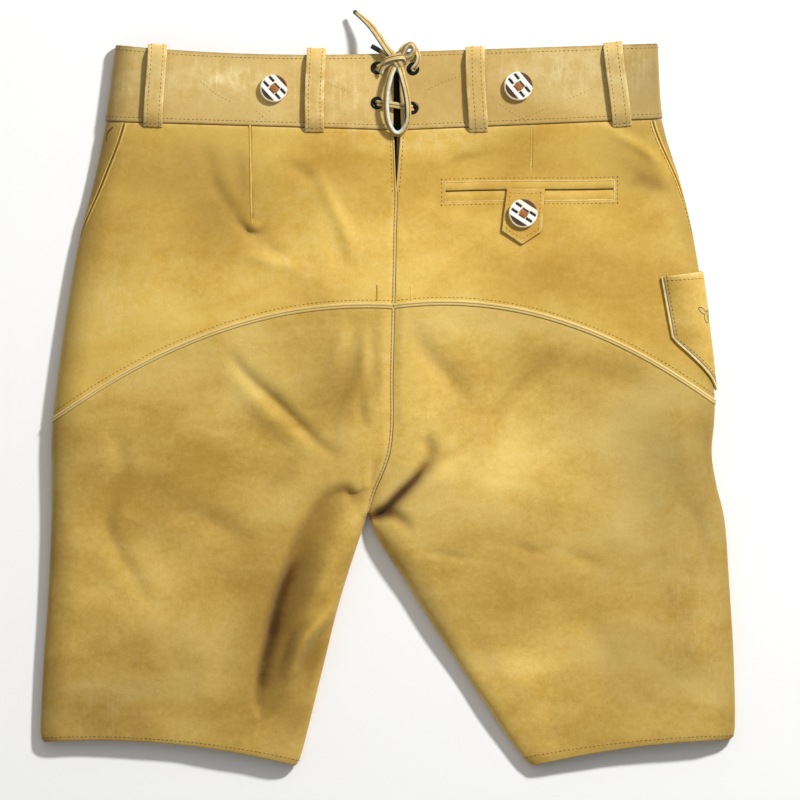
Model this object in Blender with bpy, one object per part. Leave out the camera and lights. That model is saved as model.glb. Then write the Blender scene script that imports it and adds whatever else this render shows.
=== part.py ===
"""Lederhosen lying flat on a surface, back up.

The waist points to +Y, the back faces +Z, and the wearer's right leg is on the +X side.
Sizes are in millimetres, and become metres when a mesh is made.

Each half of the garment is one surface. Its rows run from waist (row 0) to hem (row 12), and
its turn runs from the inner edge of the back (+3) over the outer edge (0) to the inner edge of
the front (-3). Panels are cut from this surface and given their thickness, so they always meet.
"""

import math
from collections import namedtuple

import bmesh
import bpy
import numpy as np
from mathutils import Vector
from mathutils.bvhtree import BVHTree

MM = 0.001

# Sheets and the gaps between them
HIDE = 1.6
BAND = 3.0
HEM = 3.0
SEAM_GAP = 0.3
SEAM_TURNED = 0.9
LAY_GAP = 0.35
EDGE_HEIGHT = 6.5
LOWER_ROLL = 5.0

# Outline of each half: outer and inner end of a row, its bow toward the waist, and how far the
# side seam lies on the back.
Row = namedtuple("Row", "name out_x out_y in_x in_y bow wrap")
LEFT_ROWS = (
    Row("waist_top", -210.2, 280.8, 3.1, 274.6, -3.9, 13.0),
    Row("waist_seam", -218.4, 221.1, 3.1, 214.5, 0.0, 13.6),
    Row("hip_high", -227.8, 173.9, 7.0, 166.1, 1.6, 6.5),
    Row("hip_mid", -240.2, 124.8, 5.5, 138.1, 6.2, 0.0),
    Row("hip_low", -251.2, 58.5, 4.3, 108.4, 15.6, 0.0),
    Row("arch", -260.1, -11.7, 3.1, 77.0, 26.5, 0.0),
    Row("seat", -260.9, -49.1, 2.7, 25.7, 21.8, 0.0),
    Row("fork", -260.9, -81.9, 1.6, -33.5, 14.0, 0.0),
    Row("crotch", -262.1, -117.0, -14.7, -84.0, 6.2, 0.0),
    Row("thigh", -264.0, -154.4, -35.9, -150.5, 2.3, 0.0),
    Row("shin", -267.5, -205.1, -49.1, -202.8, 0.0, 0.0),
    Row("hem_fold", -269.5, -253.5, -65.5, -269.1, 6.2, 0.0),
    Row("hem", -267.2, -262.9, -71.0, -281.6, 7.8, 0.0),
)
RIGHT_ROWS = (
    Row("waist_top", 209.8, 282.0, 11.7, 275.3, 0.0, 7.0),
    Row("waist_seam", 213.7, 223.1, 11.7, 214.5, 0.0, 7.0),
    Row("hip_high", 228.5, 171.6, 7.0, 166.1, 1.6, 1.5),
    Row("hip_mid", 238.7, 128.7, 5.5, 138.1, 4.7, 0.0),
    Row("hip_low", 248.8, 64.7, 4.3, 108.4, 13.3, 0.0),
    Row("arch", 255.1, 2.2, 3.1, 77.0, 27.6, 0.0),
    Row("seat", 252.7, -36.7, 2.7, 25.7, 17.2, 0.0),
    Row("fork", 256.6, -63.2, 1.6, -33.5, 7.8, 0.0),
    Row("crotch", 262.9, -91.3, -14.7, -84.0, 0.0, 0.0),
    Row("thigh", 266.4, -139.6, 15.6, -139.6, 0.0, 0.0),
    Row("shin", 269.9, -198.9, 53.8, -198.9, 0.0, 0.0),
    Row("hem_fold", 270.7, -251.2, 99.1, -266.0, 3.1, 0.0),
    Row("hem", 266.8, -261.3, 113.1, -281.6, 3.9, 0.0),
)

# Height of the back sheet over the surface, width of its rounded sides, and how far its inner
# side turns down: 0 is a flat centre seam, 1 a full turn to the inside leg seam.
Swell = namedtuple("Swell", "name crown roll inner_turn")
SWELLS = (
    Swell("waist_top", 17.0, 14.0, 0.0),
    Swell("waist_seam", 17.5, 16.0, 0.0),
    Swell("hip_high", 18.5, 20.0, 0.0),
    Swell("hip_mid", 20.0, 24.0, 0.0),
    Swell("hip_low", 21.5, 26.0, 0.0),
    Swell("arch", 22.0, 26.0, 0.0),
    Swell("seat", 22.0, 26.0, 0.0),
    Swell("fork", 21.0, 26.0, 0.1),
    Swell("crotch", 19.5, 24.0, 1.0),
    Swell("thigh", 18.0, 22.0, 1.0),
    Swell("shin", 16.5, 22.0, 1.0),
    Swell("hem_fold", 14.0, 20.0, 1.0),
    Swell("hem", 13.0, 20.0, 1.0),
)
WAIST_TOP, WAIST_SEAM, HIP_HIGH, HIP_MID, HIP_LOW = 0, 1, 2, 3, 4
ARCH, CROTCH, HEM_FOLD, LAST_ROW = 5, 8, 11, 12

# Largest folds of the back: a route, how high it rises (or sinks), and its half width
Fold = namedtuple("Fold", "name rise half_width route")
FOLDS = (
    Fold("left_thigh", -7.0, 10.0, ((-50, -112), (-68, -136), (-81, -183), (-90, -222))),
    Fold("left_thigh_roll", 2.5, 13.0, ((-28, -94), (-52, -150), (-74, -220))),
    Fold("crotch_right", -5.0, 6.0, ((-15, -86), (3, -68), (22, -50), (32, -39))),
    Fold("seat_left", -3.5, 6.0, ((-118, 33), (-82, 2), (-45, -35))),
    Fold("seat_right", -2.5, 7.0, ((104, 4), (86, -16), (67, -39))),
    Fold("dart_pucker", -2.5, 7.0, ((-116, 150), (-108, 141), (-104, 136))),
)

# Drop front, buttoned to both ends of the waistband under the garment
CENTRE_X = 7.0
FLAP_HALF_TOP = 105.0
FLAP_HALF_FOOT = 86.0
FLAP_TOP_Y = 243.0
FLAP_FOOT_Y = 66.0
FLAP_CORNER = 18.0
FLAP_CLEAR = 1.2
WINDOW_GAP = 0.5
FLAP_BESIDE = 8.0
FLAP_RAMP = 22.0
FLAP_BUTTON_X = 82.0
FLAP_BUTTON_Y = 229.0
FLAP_BUTTON_RISE = 4.6
FLAP_HOLE = 4.0
BUMP_NEAR = 16.0
BUMP_FAR = 44.0

# Buttons
BUTTON = 22.6
BUTTON_THICK = 4.0
BUTTON_STEM = 2.4
BUTTON_STEM_LONG = 1.6
TAB_STEM_LONG = 1.0
Place = namedtuple("Place", "name x y")
BAND_BUTTONS = (Place("button_left", -90.5, 248.0), Place("button_right", 101.4, 248.4))
POCKET_BUTTON = Place("pocket_button", 106.1, 149.4)

# Belt loops over the waistband
Loop = namedtuple("Loop", "name top_x top_y foot_x foot_y")
LOOPS = (
    Loop("belt_loop_1", -179.4, 280.4, -182.5, 217.6),
    Loop("belt_loop_2", -55.4, 276.9, -56.9, 213.7),
    Loop("belt_loop_3", 68.6, 278.2, 71.0, 213.7),
    Loop("belt_loop_4", 176.3, 282.0, 183.3, 217.6),
)
LOOP_WIDTH = 15.0
LOOP_RISE = 5.0

# Eyelets beside the centre slit
EYELETS = (
    Place("eyelet_1", -7.8, 235.6),
    Place("eyelet_2", 19.8, 231.7),
    Place("eyelet_3", -7.8, 262.9),
    Place("eyelet_4", 20.3, 262.1),
)
EYELET_BORE = 2.6
EYELET_BARREL = 3.3
EYELET_FLANGE = 5.0
EYELET_FLANGE_THICK = 0.7
BAND_HOLE = 3.6

# Welt pocket and its tab on the wearer's right
POCKET_LEFT, POCKET_RIGHT = 45.5, 176.8
POCKET_TOP_Y, POCKET_FOOT_Y = 174.4, 159.4
POCKET_TILT = 1.0
POCKET_SLIT_Y = 167.6
POCKET_SLIT = 1.2
Tab = namedtuple("Tab", "name left_x right_x y")
TAB_ROWS = (Tab("top", 93.6, 123.2, 169.0), Tab("shoulder", 89.7, 120.9, 135.5))
TAB_TIP = 10.5

# Knife pocket folded round the right edge
KNIFE_BACK = 38.5
KNIFE_FRONT = 34.0
KNIFE_TOP_Y = 106.5
KNIFE_TOP_TILT = 5.5
KNIFE_SIDE_Y = 53.5
KNIFE_TIP_Y = 10.5
KNIFE_PUFF = 7.4
KNIFE_CLEAR = 2.3

# Lace: round thong through the eyelets, knotted over the slit
LACE = 3.0
KNOT = Place("lace_knot", 7.8, 268.5)
KNOT_Z = 25.0
KNOT_RADII = (7.0, 6.0, 4.4)
Strand = namedtuple("Strand", "name route")
STRANDS = (
    Strand("lace_through", (
        (0.6, 266.0, 23.2), (-3.5, 264.6, 23.3), (-7.2, 263.1, 21.6), (-7.8, 262.9, 17.5),
        (-7.7, 261.5, 13.0), (-7.8, 256.0, 11.4), (-7.8, 249.0, 11.2), (-7.8, 242.0, 11.4),
        (-7.9, 237.0, 13.0), (-7.8, 235.6, 17.5), (-7.2, 235.5, 21.6), (-3.5, 235.1, 22.9),
        (6.0, 234.0, 23.0), (15.4, 232.4, 22.9), (19.2, 231.8, 21.6), (19.8, 231.7, 17.5),
        (19.9, 233.0, 13.0), (20.0, 239.0, 11.4), (20.1, 247.0, 11.2), (20.2, 255.0, 11.4),
        (20.3, 260.6, 13.0), (20.3, 262.1, 17.5), (21.0, 262.8, 21.8), (24.0, 267.0, 23.2),
        (24.4, 273.0, 23.4), (21.4, 278.6, 23.6), (16.0, 280.2, 23.6), (11.6, 277.0, 23.4),
        (10.0, 274.6, 23.6),
    )),
    Strand("lace_end_long", (
        (3.0, 273.6, 26.5), (-1.0, 279.0, 27.0), (-7.0, 288.0, 24.0), (-14.0, 297.0, 17.0),
        (-25.0, 306.5, 9.5),
    )),
    Strand("lace_loop_long", (
        (4.6, 262.6, 26.0), (2.2, 256.0, 27.4), (-0.3, 244.0, 27.6), (-0.8, 232.0, 27.2),
        (0.6, 221.0, 25.0), (4.4, 213.6, 22.9), (8.6, 211.6, 22.4), (12.9, 214.4, 22.9),
        (16.0, 222.0, 25.0), (16.2, 234.0, 27.2), (14.6, 245.0, 27.6), (12.0, 256.0, 27.4),
        (10.6, 262.4, 26.0),
    )),
    Strand("lace_loop_small", (
        (12.0, 273.8, 27.0), (15.0, 279.0, 29.4), (19.0, 281.4, 30.6), (21.0, 277.6, 30.2),
        (18.6, 272.6, 28.6), (15.4, 270.4, 27.4),
    )),
)

Finish = namedtuple("Finish", "name colour roughness metallic")
SUEDE = Finish("suede_leather", (0.56, 0.36, 0.12), 0.85, 0.0)
SMOOTH = Finish("smooth_leather", (0.62, 0.41, 0.14), 0.6, 0.0)
PALE = Finish("pale_leather_edge", (0.78, 0.66, 0.42), 0.7, 0.0)
HORN = Finish("horn", (0.80, 0.74, 0.62), 0.35, 0.0)
BLACK_METAL = Finish("blackened_metal", (0.02, 0.02, 0.022), 0.35, 0.9)
THONG = Finish("leather_thong", (0.72, 0.52, 0.24), 0.65, 0.0)


def clear_scene():
    for obj in list(bpy.data.objects):
        bpy.data.objects.remove(obj, do_unlink=True)


def material(finish):
    found = bpy.data.materials.get(finish.name)
    if found:
        return found
    made = bpy.data.materials.new(finish.name)
    made.use_nodes = True
    shader = made.node_tree.nodes["Principled BSDF"]
    shader.inputs["Base Color"].default_value = (*finish.colour, 1.0)
    shader.inputs["Roughness"].default_value = finish.roughness
    shader.inputs["Metallic"].default_value = finish.metallic
    return made


def ease(value):
    """0 below 0, 1 above 1, and a smooth step between."""
    value = min(max(value, 0.0), 1.0)
    return value * value * (3.0 - 2.0 * value)


def spline(values, at):
    """Catmull-Rom curve through values, read at a row number."""
    last = len(values) - 1
    first = int(min(max(math.floor(at), 0), last - 1))
    t = at - first
    before = values[first - 1] if first > 0 else 2 * values[0] - values[1]
    after = values[first + 2] if first + 2 <= last else 2 * values[last] - values[last - 1]
    a, b = values[first], values[first + 1]
    return 0.5 * (
        2 * a
        + (b - before) * t
        + (2 * before - 5 * a + 4 * b - after) * t * t
        + (3 * a - before - 3 * b + after) * t ** 3
    )


def straight(values, at):
    """Straight lines through values, read at a row number."""
    first = int(min(max(math.floor(at), 0), len(values) - 2))
    return values[first] + (values[first + 1] - values[first]) * (at - first)


def route_distance(x, y, route):
    """Distance to a route, and how far along it the nearest point lies, from 0 to 1."""
    best, share = 1e9, 0.0
    for k, (start, end) in enumerate(zip(route, route[1:])):
        dx, dy = end[0] - start[0], end[1] - start[1]
        t = ((x - start[0]) * dx + (y - start[1]) * dy) / (dx * dx + dy * dy)
        t = min(max(t, 0.0), 1.0)
        away = math.hypot(x - start[0] - t * dx, y - start[1] - t * dy)
        if away < best:
            best, share = away, (k + t) / (len(route) - 1)
    return best, share


def folds_at(x, y):
    """Sum of the folds at a place. Each is a bell across its route and fades at both ends."""
    total = 0.0
    for fold in FOLDS:
        away, share = route_distance(x, y, fold.route)
        bell = math.exp(-0.5 * (away / fold.half_width) ** 2)
        total += fold.rise * bell * (0.35 + 0.65 * math.sin(math.pi * share))
    return total


def button_bump(x, y):
    """How far the flap and the band rise over a flap button."""
    away = min(
        math.hypot(x - CENTRE_X - side * FLAP_BUTTON_X, y - FLAP_BUTTON_Y) for side in (-1, 1)
    )
    return FLAP_BUTTON_RISE * (1.0 - ease((away - BUMP_NEAR) / (BUMP_FAR - BUMP_NEAR)))


def band_lift(x, y):
    """The band lies over the flap's top edge."""
    beside = abs(x - CENTRE_X) - FLAP_HALF_TOP - FLAP_BESIDE
    over_flap = (HIDE + FLAP_CLEAR) * (1.0 - ease(beside / FLAP_RAMP))
    return over_flap + button_bump(x, y)


def knife_lift(x, y):
    """The right front lies over the part of the knife pocket that is folded under."""
    beside = ease((x - 176.0) / 34.0)
    along = ease((KNIFE_TOP_Y + 30.0 - y) / 20.0) * ease((y - KNIFE_TIP_Y + 30.0) / 20.0)
    return KNIFE_CLEAR * beside * along


def no_lift(x, y):
    return 0.0


def centre(name, row):
    """The centre seam, which both halves share down to the crotch."""
    pairs = zip(LEFT_ROWS, RIGHT_ROWS)
    return spline([(getattr(left, name) + getattr(right, name)) / 2 for left, right in pairs], row)


class Half:
    """One half of the garment, as a surface with rows and a turn."""

    def __init__(self, rows, facing):
        self.rows = rows
        self.facing = facing
        self.columns = {
            name: [getattr(row, name) for row in rows] for name in Row._fields if name != "name"
        }

    def read(self, name, row):
        return spline(self.columns[name], row)

    def seam_turn(self, row):
        """The turn at which the side seam lies, on the rounded side."""
        roll = swell(row, "roll")
        share = max(self.read("wrap", row), 0.0) / roll
        return math.degrees(math.acos(1.0 - min(share, 0.99))) / 90.0

    def ends(self, row, front):
        outer = np.array((self.read("out_x", row), self.read("out_y", row)))
        inner = np.array((self.read("in_x", row), self.read("in_y", row)))
        if row < HIP_MID:
            inner[0] = CENTRE_X if front and row < HIP_HIGH else straight(self.columns["in_x"], row)
        elif row < CROTCH:
            inner = np.array((centre("in_x", row), centre("in_y", row)))
        return outer, inner

    def point(self, row, turn, sheet, lift=no_lift):
        """Middle of the wall at a row and turn. sheet is the thickness of the wall below."""
        outer, inner = self.ends(row, turn < 0)
        chord = inner - outer
        whole = float(np.hypot(*chord))
        inner_turn = min(max(swell(row, "inner_turn"), 1e-3), 1.0)
        width = whole - SEAM_TURNED * math.sin(math.radians(90.0 * inner_turn))
        roll = swell(row, "roll") if turn >= 0 else LOWER_ROLL
        along, rise = across(width, roll, inner_turn, abs(turn))
        share = along / whole
        plan = outer + chord * share
        plan[1] += self.read("bow", row) * 4.0 * share * (1.0 - share)
        x, y = plan
        if turn >= 0:
            flat = ease((turn - 0.4) / 0.6) * ease((2.75 - turn) / 0.6)
            level = swell(row, "crown") + folds_at(x, y) * flat
        else:
            level = sheet / 2 + lift(x, y)
        return np.array((x, y, EDGE_HEIGHT + rise * (level - EDGE_HEIGHT)))

    def frame(self, row, turn, sheet, lift=no_lift):
        """Point, outward normal, and the unit directions along the rows and along the turn."""
        step = 0.01
        rows = (max(row - step, 0.0), min(row + step, float(LAST_ROW)))
        turns = (max(turn - step, -3.0), min(turn + step, 3.0))
        down = unit(self.point(rows[1], turn, sheet, lift) - self.point(rows[0], turn, sheet, lift))
        side = unit(self.point(row, turns[1], sheet, lift) - self.point(row, turns[0], sheet, lift))
        normal = unit(np.cross(down, side)) * self.facing
        return self.point(row, turn, sheet, lift), normal, down, side

    def row_at(self, y, turn_of_row):
        """The row whose point at the given turn lies at y, by halving."""
        low, high = float(WAIST_SEAM), float(CROTCH)
        for _ in range(40):
            middle = (low + high) / 2
            if self.point(middle, turn_of_row(middle), HIDE, knife_lift)[1] > y:
                low = middle
            else:
                high = middle
        return (low + high) / 2

    def girth_at_one(self, row, front=False):
        """Length of the rounded side, from the outer edge to the flat."""
        roll = LOWER_ROLL if front else swell(row, "roll")
        height = EDGE_HEIGHT - HIDE if front else swell(row, "crown") - EDGE_HEIGHT
        return math.pi / 2 * math.sqrt((roll ** 2 + height ** 2) / 2)

    def turn_at_girth(self, row, girth):
        """Turn at a distance from the outer edge: above it on the back, below 0 on the front."""
        front = girth < 0
        side = self.girth_at_one(row, front)
        if abs(girth) < side:
            return girth / side
        outer, inner = self.ends(row, front)
        flat = np.hypot(*(inner - outer)) - 2 * (LOWER_ROLL if front else swell(row, "roll"))
        return math.copysign(1.0 + (abs(girth) - side) / flat, girth)


def swell(row, name):
    return spline([getattr(each, name) for each in SWELLS], row)


def unit(vector):
    return vector / np.linalg.norm(vector)


def across(width, roll, inner_turn, turn):
    """Distance from the outer edge, and the share of the rise, at a turn from 0 to 3."""
    if turn <= 1.0:
        angle = math.radians(90.0 * turn)
        return roll * (1.0 - math.cos(angle)), math.sin(angle)
    if turn <= 2.0:
        return roll + (turn - 1.0) * (width - 2.0 * roll), 1.0
    end = math.radians(90.0 * inner_turn)
    angle = (turn - 2.0) * end
    return width - roll + roll * math.sin(angle) / math.sin(end), math.cos(angle)


LEFT = Half(LEFT_ROWS, 1.0)
RIGHT = Half(RIGHT_ROWS, -1.0)


def sheet_object(name, middles, normals, outward, inward, finish):
    """Closed wall on a grid of middle points, with its thickness to each side of them."""
    middles, normals = np.asarray(middles), np.asarray(normals)
    rows, columns = middles.shape[:2]
    outward = np.broadcast_to(outward, (rows, columns))[..., None]
    inward = np.broadcast_to(inward, (rows, columns))[..., None]
    mesh = bmesh.new()
    outer = [[mesh.verts.new(Vector(p * MM)) for p in line] for line in middles + normals * outward]
    inner = [[mesh.verts.new(Vector(p * MM)) for p in line] for line in middles - normals * inward]
    for i in range(rows - 1):
        for j in range(columns - 1):
            mesh.faces.new((outer[i][j], outer[i + 1][j], outer[i + 1][j + 1], outer[i][j + 1]))
            mesh.faces.new((inner[i][j], inner[i][j + 1], inner[i + 1][j + 1], inner[i + 1][j]))
    rim = [(0, j) for j in range(columns)] + [(i, columns - 1) for i in range(1, rows)]
    rim += [(rows - 1, j) for j in range(columns - 2, -1, -1)] + [(i, 0) for i in range(rows - 2, 0, -1)]
    for (i, j), (k, m) in zip(rim, rim[1:] + rim[:1]):
        mesh.faces.new((outer[i][j], outer[k][m], inner[k][m], inner[i][j]))
    bmesh.ops.recalc_face_normals(mesh, faces=mesh.faces)
    return mesh_object(name, mesh, finish)


def mesh_object(name, mesh, finish):
    data = bpy.data.meshes.new(name)
    mesh.to_mesh(data)
    mesh.free()
    obj = bpy.data.objects.new(name, data)
    bpy.context.scene.collection.objects.link(obj)
    data.materials.append(material(finish))
    return obj


def spread(start, end, count):
    return [float(value) for value in np.linspace(start, end, count)]


def panel(name, half, rows, turns_of_row, sheet, finish, lift=no_lift, hem=None):
    """A panel of one half, drawn in by half a seam gap on all four sides."""
    middles, normals = [], []
    for row in rows:
        frames = [half.frame(row, turn, sheet, lift) for turn in turns_of_row(row)]
        middles.append([each[0] for each in frames])
        normals.append([each[1] for each in frames])
        toward_back = 1.0 if turns_of_row(row)[-1] > turns_of_row(row)[0] else -1.0
        middles[-1][0] = frames[0][0] + frames[0][3] * toward_back * SEAM_GAP / 2
        middles[-1][-1] = frames[-1][0] - frames[-1][3] * toward_back * SEAM_GAP / 2
    for j, turn in enumerate(turns_of_row(rows[0])):
        middles[0][j] = middles[0][j] + half.frame(rows[0], turn, sheet, lift)[2] * SEAM_GAP / 2
    for j, turn in enumerate(turns_of_row(rows[-1])):
        middles[-1][j] = middles[-1][j] - half.frame(rows[-1], turn, sheet, lift)[2] * SEAM_GAP / 2
    inward = np.full((len(rows), 1), sheet / 2)
    if hem is not None:
        inward[np.array(rows) > HEM_FOLD] = hem - sheet / 2
    return sheet_object(name, middles, normals, sheet / 2, inward, finish)


def back_turns(half):
    """Turns of a back panel: a round outer side, the flat, and a round inner side."""
    def turns(row):
        start = half.seam_turn(row)
        return spread(start, 1.0, 6)[:-1] + spread(1.0, 2.0, 13)[:-1] + spread(2.0, 3.0, 5)
    return turns


def front_turns(half):
    """Turns of a front panel, closer together beside the outer edge, where a pocket lies under."""
    def turns(row):
        side = spread(half.seam_turn(row), -1.0, 6)[:-1]
        return side + spread(-1.0, -1.3, 5)[:-1] + spread(-1.3, -2.0, 4)[:-1] + spread(-2.0, -3.0, 4)
    return turns


def band_turns(row):
    """The band has no side seam, so it goes all the way round from back centre to front centre."""
    return spread(3.0, 1.0, 11)[:-1] + spread(1.0, -1.0, 11)[:-1] + spread(-1.0, -3.0, 19)


# Panels that share a seam share their rows, so that their facets meet.
YOKE_ROWS = spread(WAIST_SEAM, ARCH, 10)
LEG_ROWS = spread(ARCH, HEM_FOLD, 17) + [HEM_FOLD + 0.1, LAST_ROW]
FRONT_ROWS = YOKE_ROWS[:-1] + LEG_ROWS


def make_panels():
    made = {}
    for side, half in (("left", LEFT), ("right", RIGHT)):
        made["waistband_" + side] = panel(
            "waistband_" + side, half, spread(WAIST_TOP, WAIST_SEAM, 6), band_turns, BAND, SMOOTH,
            band_lift,
        )
        made["yoke_" + side] = panel(
            "yoke_" + side, half, YOKE_ROWS, back_turns(half), HIDE, SMOOTH
        )
        made["back_leg_" + side] = panel(
            "back_leg_" + side, half, LEG_ROWS, back_turns(half), HIDE, SUEDE, hem=HEM
        )
        made["front_" + side] = panel(
            "front_" + side, half, FRONT_ROWS, front_turns(half), HIDE, SUEDE,
            knife_lift if side == "right" else no_lift, hem=HEM,
        )
    return made


class Skin:
    """The middle of the back sheet, to lay pieces on."""

    def __init__(self):
        points, faces = [], []
        for half in (LEFT, RIGHT):
            rows, turns = spread(0.0, LAST_ROW, 121), spread(0.0, 3.0, 91)
            base = len(points)
            points += [Vector(half.point(row, turn, HIDE)) for row in rows for turn in turns]
            for i in range(len(rows) - 1):
                for j in range(len(turns) - 1):
                    a = base + i * len(turns) + j
                    b = a + len(turns)
                    faces.append((a, b, b + 1, a + 1))
        self.tree = BVHTree.FromPolygons(points, faces)

    def at(self, x, y):
        """Point and upward normal over a place, level with the nearest edge where it lies past it."""
        place, normal, _, _ = self.tree.ray_cast(Vector((x, y, 100.0)), Vector((0.0, 0.0, -1.0)))
        if place is None:
            nearest = self.tree.find_nearest(Vector((x, y, 20.0)))[0]
            return np.array((x, y, nearest.z)), np.array((0.0, 0.0, 1.0))
        return np.array(place), np.array(normal if normal.z > 0 else -normal)


def laid(name, skin, plan, lift, thick, finish):
    """A sheet on the back: plan is a grid of (x, y), lift its middle's height off the wall's."""
    rows, columns = len(plan), len(plan[0])
    lift = np.broadcast_to(lift, (rows, columns))
    middles = np.zeros((rows, columns, 3))
    normals = np.zeros((rows, columns, 3))
    for i in range(rows):
        for j in range(columns):
            place, normal = skin.at(*plan[i][j])
            middles[i, j] = place + normal * lift[i, j]
            normals[i, j] = normal
    return sheet_object(name, middles, normals, thick / 2, thick / 2, finish)


def cutter(name, outline, low, high):
    """A hidden prism to cut with, from a plan outline."""
    mesh = bmesh.new()
    base = [mesh.verts.new(Vector((x, y, low)) * MM) for x, y in outline]
    face = mesh.faces.new(base)
    raised = bmesh.ops.extrude_face_region(mesh, geom=[face])
    moved = [each for each in raised["geom"] if isinstance(each, bmesh.types.BMVert)]
    bmesh.ops.translate(mesh, verts=moved, vec=Vector((0.0, 0.0, (high - low) * MM)))
    bmesh.ops.recalc_face_normals(mesh, faces=mesh.faces)
    obj = mesh_object(name, mesh, SUEDE)
    obj.hide_render = True
    obj.display_type = "WIRE"
    return obj


def cut(obj, tool):
    modifier = obj.modifiers.new("cut_" + tool.name, "BOOLEAN")
    modifier.operation = "DIFFERENCE"
    modifier.solver = "EXACT"
    modifier.object = tool


def circle(x, y, radius, count=16):
    turns = [2 * math.pi * k / count for k in range(count)]
    return [(x + radius * math.cos(turn), y + radius * math.sin(turn)) for turn in turns]


def turned(name, profile, at, finish, segments=20, closed=False):
    """A solid spun round the upright axis from (radius, height) points."""
    mesh = bmesh.new()
    verts = [mesh.verts.new(Vector((radius, 0.0, height)) * MM) for radius, height in profile]
    pairs = list(zip(verts, verts[1:] + verts[:1] if closed else verts[1:]))
    edges = [mesh.edges.new(pair) for pair in pairs]
    bmesh.ops.spin(
        mesh, geom=verts + edges, axis=(0, 0, 1), cent=(0, 0, 0), steps=segments,
        angle=2 * math.pi, use_merge=True,
    )
    bmesh.ops.remove_doubles(mesh, verts=mesh.verts, dist=1e-6)
    bmesh.ops.recalc_face_normals(mesh, faces=mesh.faces)
    obj = mesh_object(name, mesh, finish)
    obj.location = Vector(at) * MM
    return obj


def flap_plan():
    """Grid of (x, y) over the drop front: straight sides that run in, and rounded foot corners."""
    plan = []
    for down in spread(0.0, 1.0, 19):
        line = []
        for across_share in spread(-1.0, 1.0, 25):
            beyond = max(abs(across_share) * FLAP_HALF_FOOT - FLAP_HALF_FOOT + FLAP_CORNER, 0.0)
            corner = FLAP_CORNER - math.sqrt(max(FLAP_CORNER ** 2 - beyond ** 2, 0.0))
            y = FLAP_TOP_Y + (FLAP_FOOT_Y + corner - FLAP_TOP_Y) * down
            share = (FLAP_TOP_Y - y) / (FLAP_TOP_Y - FLAP_FOOT_Y)
            half_width = FLAP_HALF_TOP + (FLAP_HALF_FOOT - FLAP_HALF_TOP) * share
            line.append((CENTRE_X + across_share * half_width, y))
        plan.append(line)
    return plan


def flap_window(plan):
    """The flap's sides and foot, moved out a little from its middle."""
    border = [line[0] for line in plan] + plan[-1][1:-1] + [line[-1] for line in plan[::-1]]
    middle_y = (FLAP_TOP_Y + FLAP_FOOT_Y) / 2
    grow = 1.0 + WINDOW_GAP / FLAP_HALF_FOOT
    return [(CENTRE_X + (x - CENTRE_X) * grow, middle_y + (y - middle_y) * grow) for x, y in border]


def make_flap(panels):
    """The drop front: a plain sheet in a window of the fronts, its top under the waistband."""
    plan = flap_plan()
    middles = np.array([[(x, y, HIDE / 2 + button_bump(x, y)) for x, y in line] for line in plan])
    normals = np.zeros_like(middles)
    normals[..., 2] = 1.0
    flap = sheet_object("flap", middles, normals, HIDE / 2, HIDE / 2, SUEDE)
    window = cutter("window", flap_window(plan), -4.0, 8.0)
    for side in ("left", "right"):
        cut(panels["front_" + side], window)
    for side, name in ((-1, "left"), (1, "right")):
        x = CENTRE_X + side * FLAP_BUTTON_X
        cut(flap, cutter("hole_" + name, circle(x, FLAP_BUTTON_Y, FLAP_HOLE), -4.0, 14.0))
        stem = FLAP_BUTTON_RISE + HIDE + FLAP_CLEAR - SEAM_GAP - BUTTON_THICK
        button("flap_button_" + name, (x, FLAP_BUTTON_Y, 0.0), stem, -1.0)


def button(name, foot, stem, facing=1.0):
    """A turned horn button: a stem, a flat back, a rounded rim and a face with a shallow dish."""
    radius = BUTTON / 2
    profile = [
        (0.0, 0.0), (BUTTON_STEM, 0.0), (BUTTON_STEM, stem), (radius - 1.6, stem),
        (radius, stem + 1.5), (radius, stem + 2.6), (radius - 1.0, stem + BUTTON_THICK),
        (radius - 2.4, stem + BUTTON_THICK), (radius - 4.0, stem + BUTTON_THICK - 0.6),
        (0.0, stem + BUTTON_THICK - 0.6),
    ]
    if facing < 0:
        top = stem + BUTTON_THICK
        profile = [(r, top - z) for r, z in profile]
    return turned(name, profile, foot, HORN)


def make_band_buttons(skin):
    for place in BAND_BUTTONS:
        ground = skin.at(place.x, place.y)[0][2] + BAND / 2 + SEAM_GAP
        button(place.name, (place.x, place.y, ground), BUTTON_STEM_LONG)


def make_loops(skin):
    rows, columns = 15, 4
    for loop in LOOPS:
        top, foot = np.array(loop[1:3]), np.array(loop[3:5])
        side = np.array((-(foot - top)[1], (foot - top)[0])) / np.hypot(*(foot - top))
        shares = spread(0.0, 1.0, rows)
        plan = [
            [top + (foot - top) * share + side * LOOP_WIDTH * (j / (columns - 1) - 0.5)
             for j in range(columns)]
            for share in shares
        ]
        lift = [
            [BAND / 2 + LAY_GAP + HIDE / 2 + LOOP_RISE * ease(share / 0.24) * ease((1 - share) / 0.24)]
            for share in shares
        ]
        laid(loop.name, skin, plan, np.array(lift), HIDE, SMOOTH)


def make_eyelets(skin, panels):
    for place in EYELETS:
        middle = float(skin.at(place.x, place.y)[0][2])
        reach = BAND / 2 + SEAM_GAP
        lip = reach + EYELET_FLANGE_THICK
        profile = [
            (EYELET_BORE, lip - 0.3), (EYELET_BORE + 0.4, lip), (EYELET_FLANGE - 0.6, lip),
            (EYELET_FLANGE, reach), (EYELET_BARREL, reach), (EYELET_BARREL, -reach),
            (EYELET_FLANGE - 0.6, -reach), (EYELET_FLANGE - 0.6, -lip), (EYELET_BORE, -lip),
        ]
        turned(place.name, profile, (place.x, place.y, middle), BLACK_METAL, 16, closed=True)
        side = "left" if place.x < CENTRE_X else "right"
        hole = cutter("hole_" + place.name, circle(place.x, place.y, BAND_HOLE), 12.0, 26.0)
        cut(panels["waistband_" + side], hole)


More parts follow.
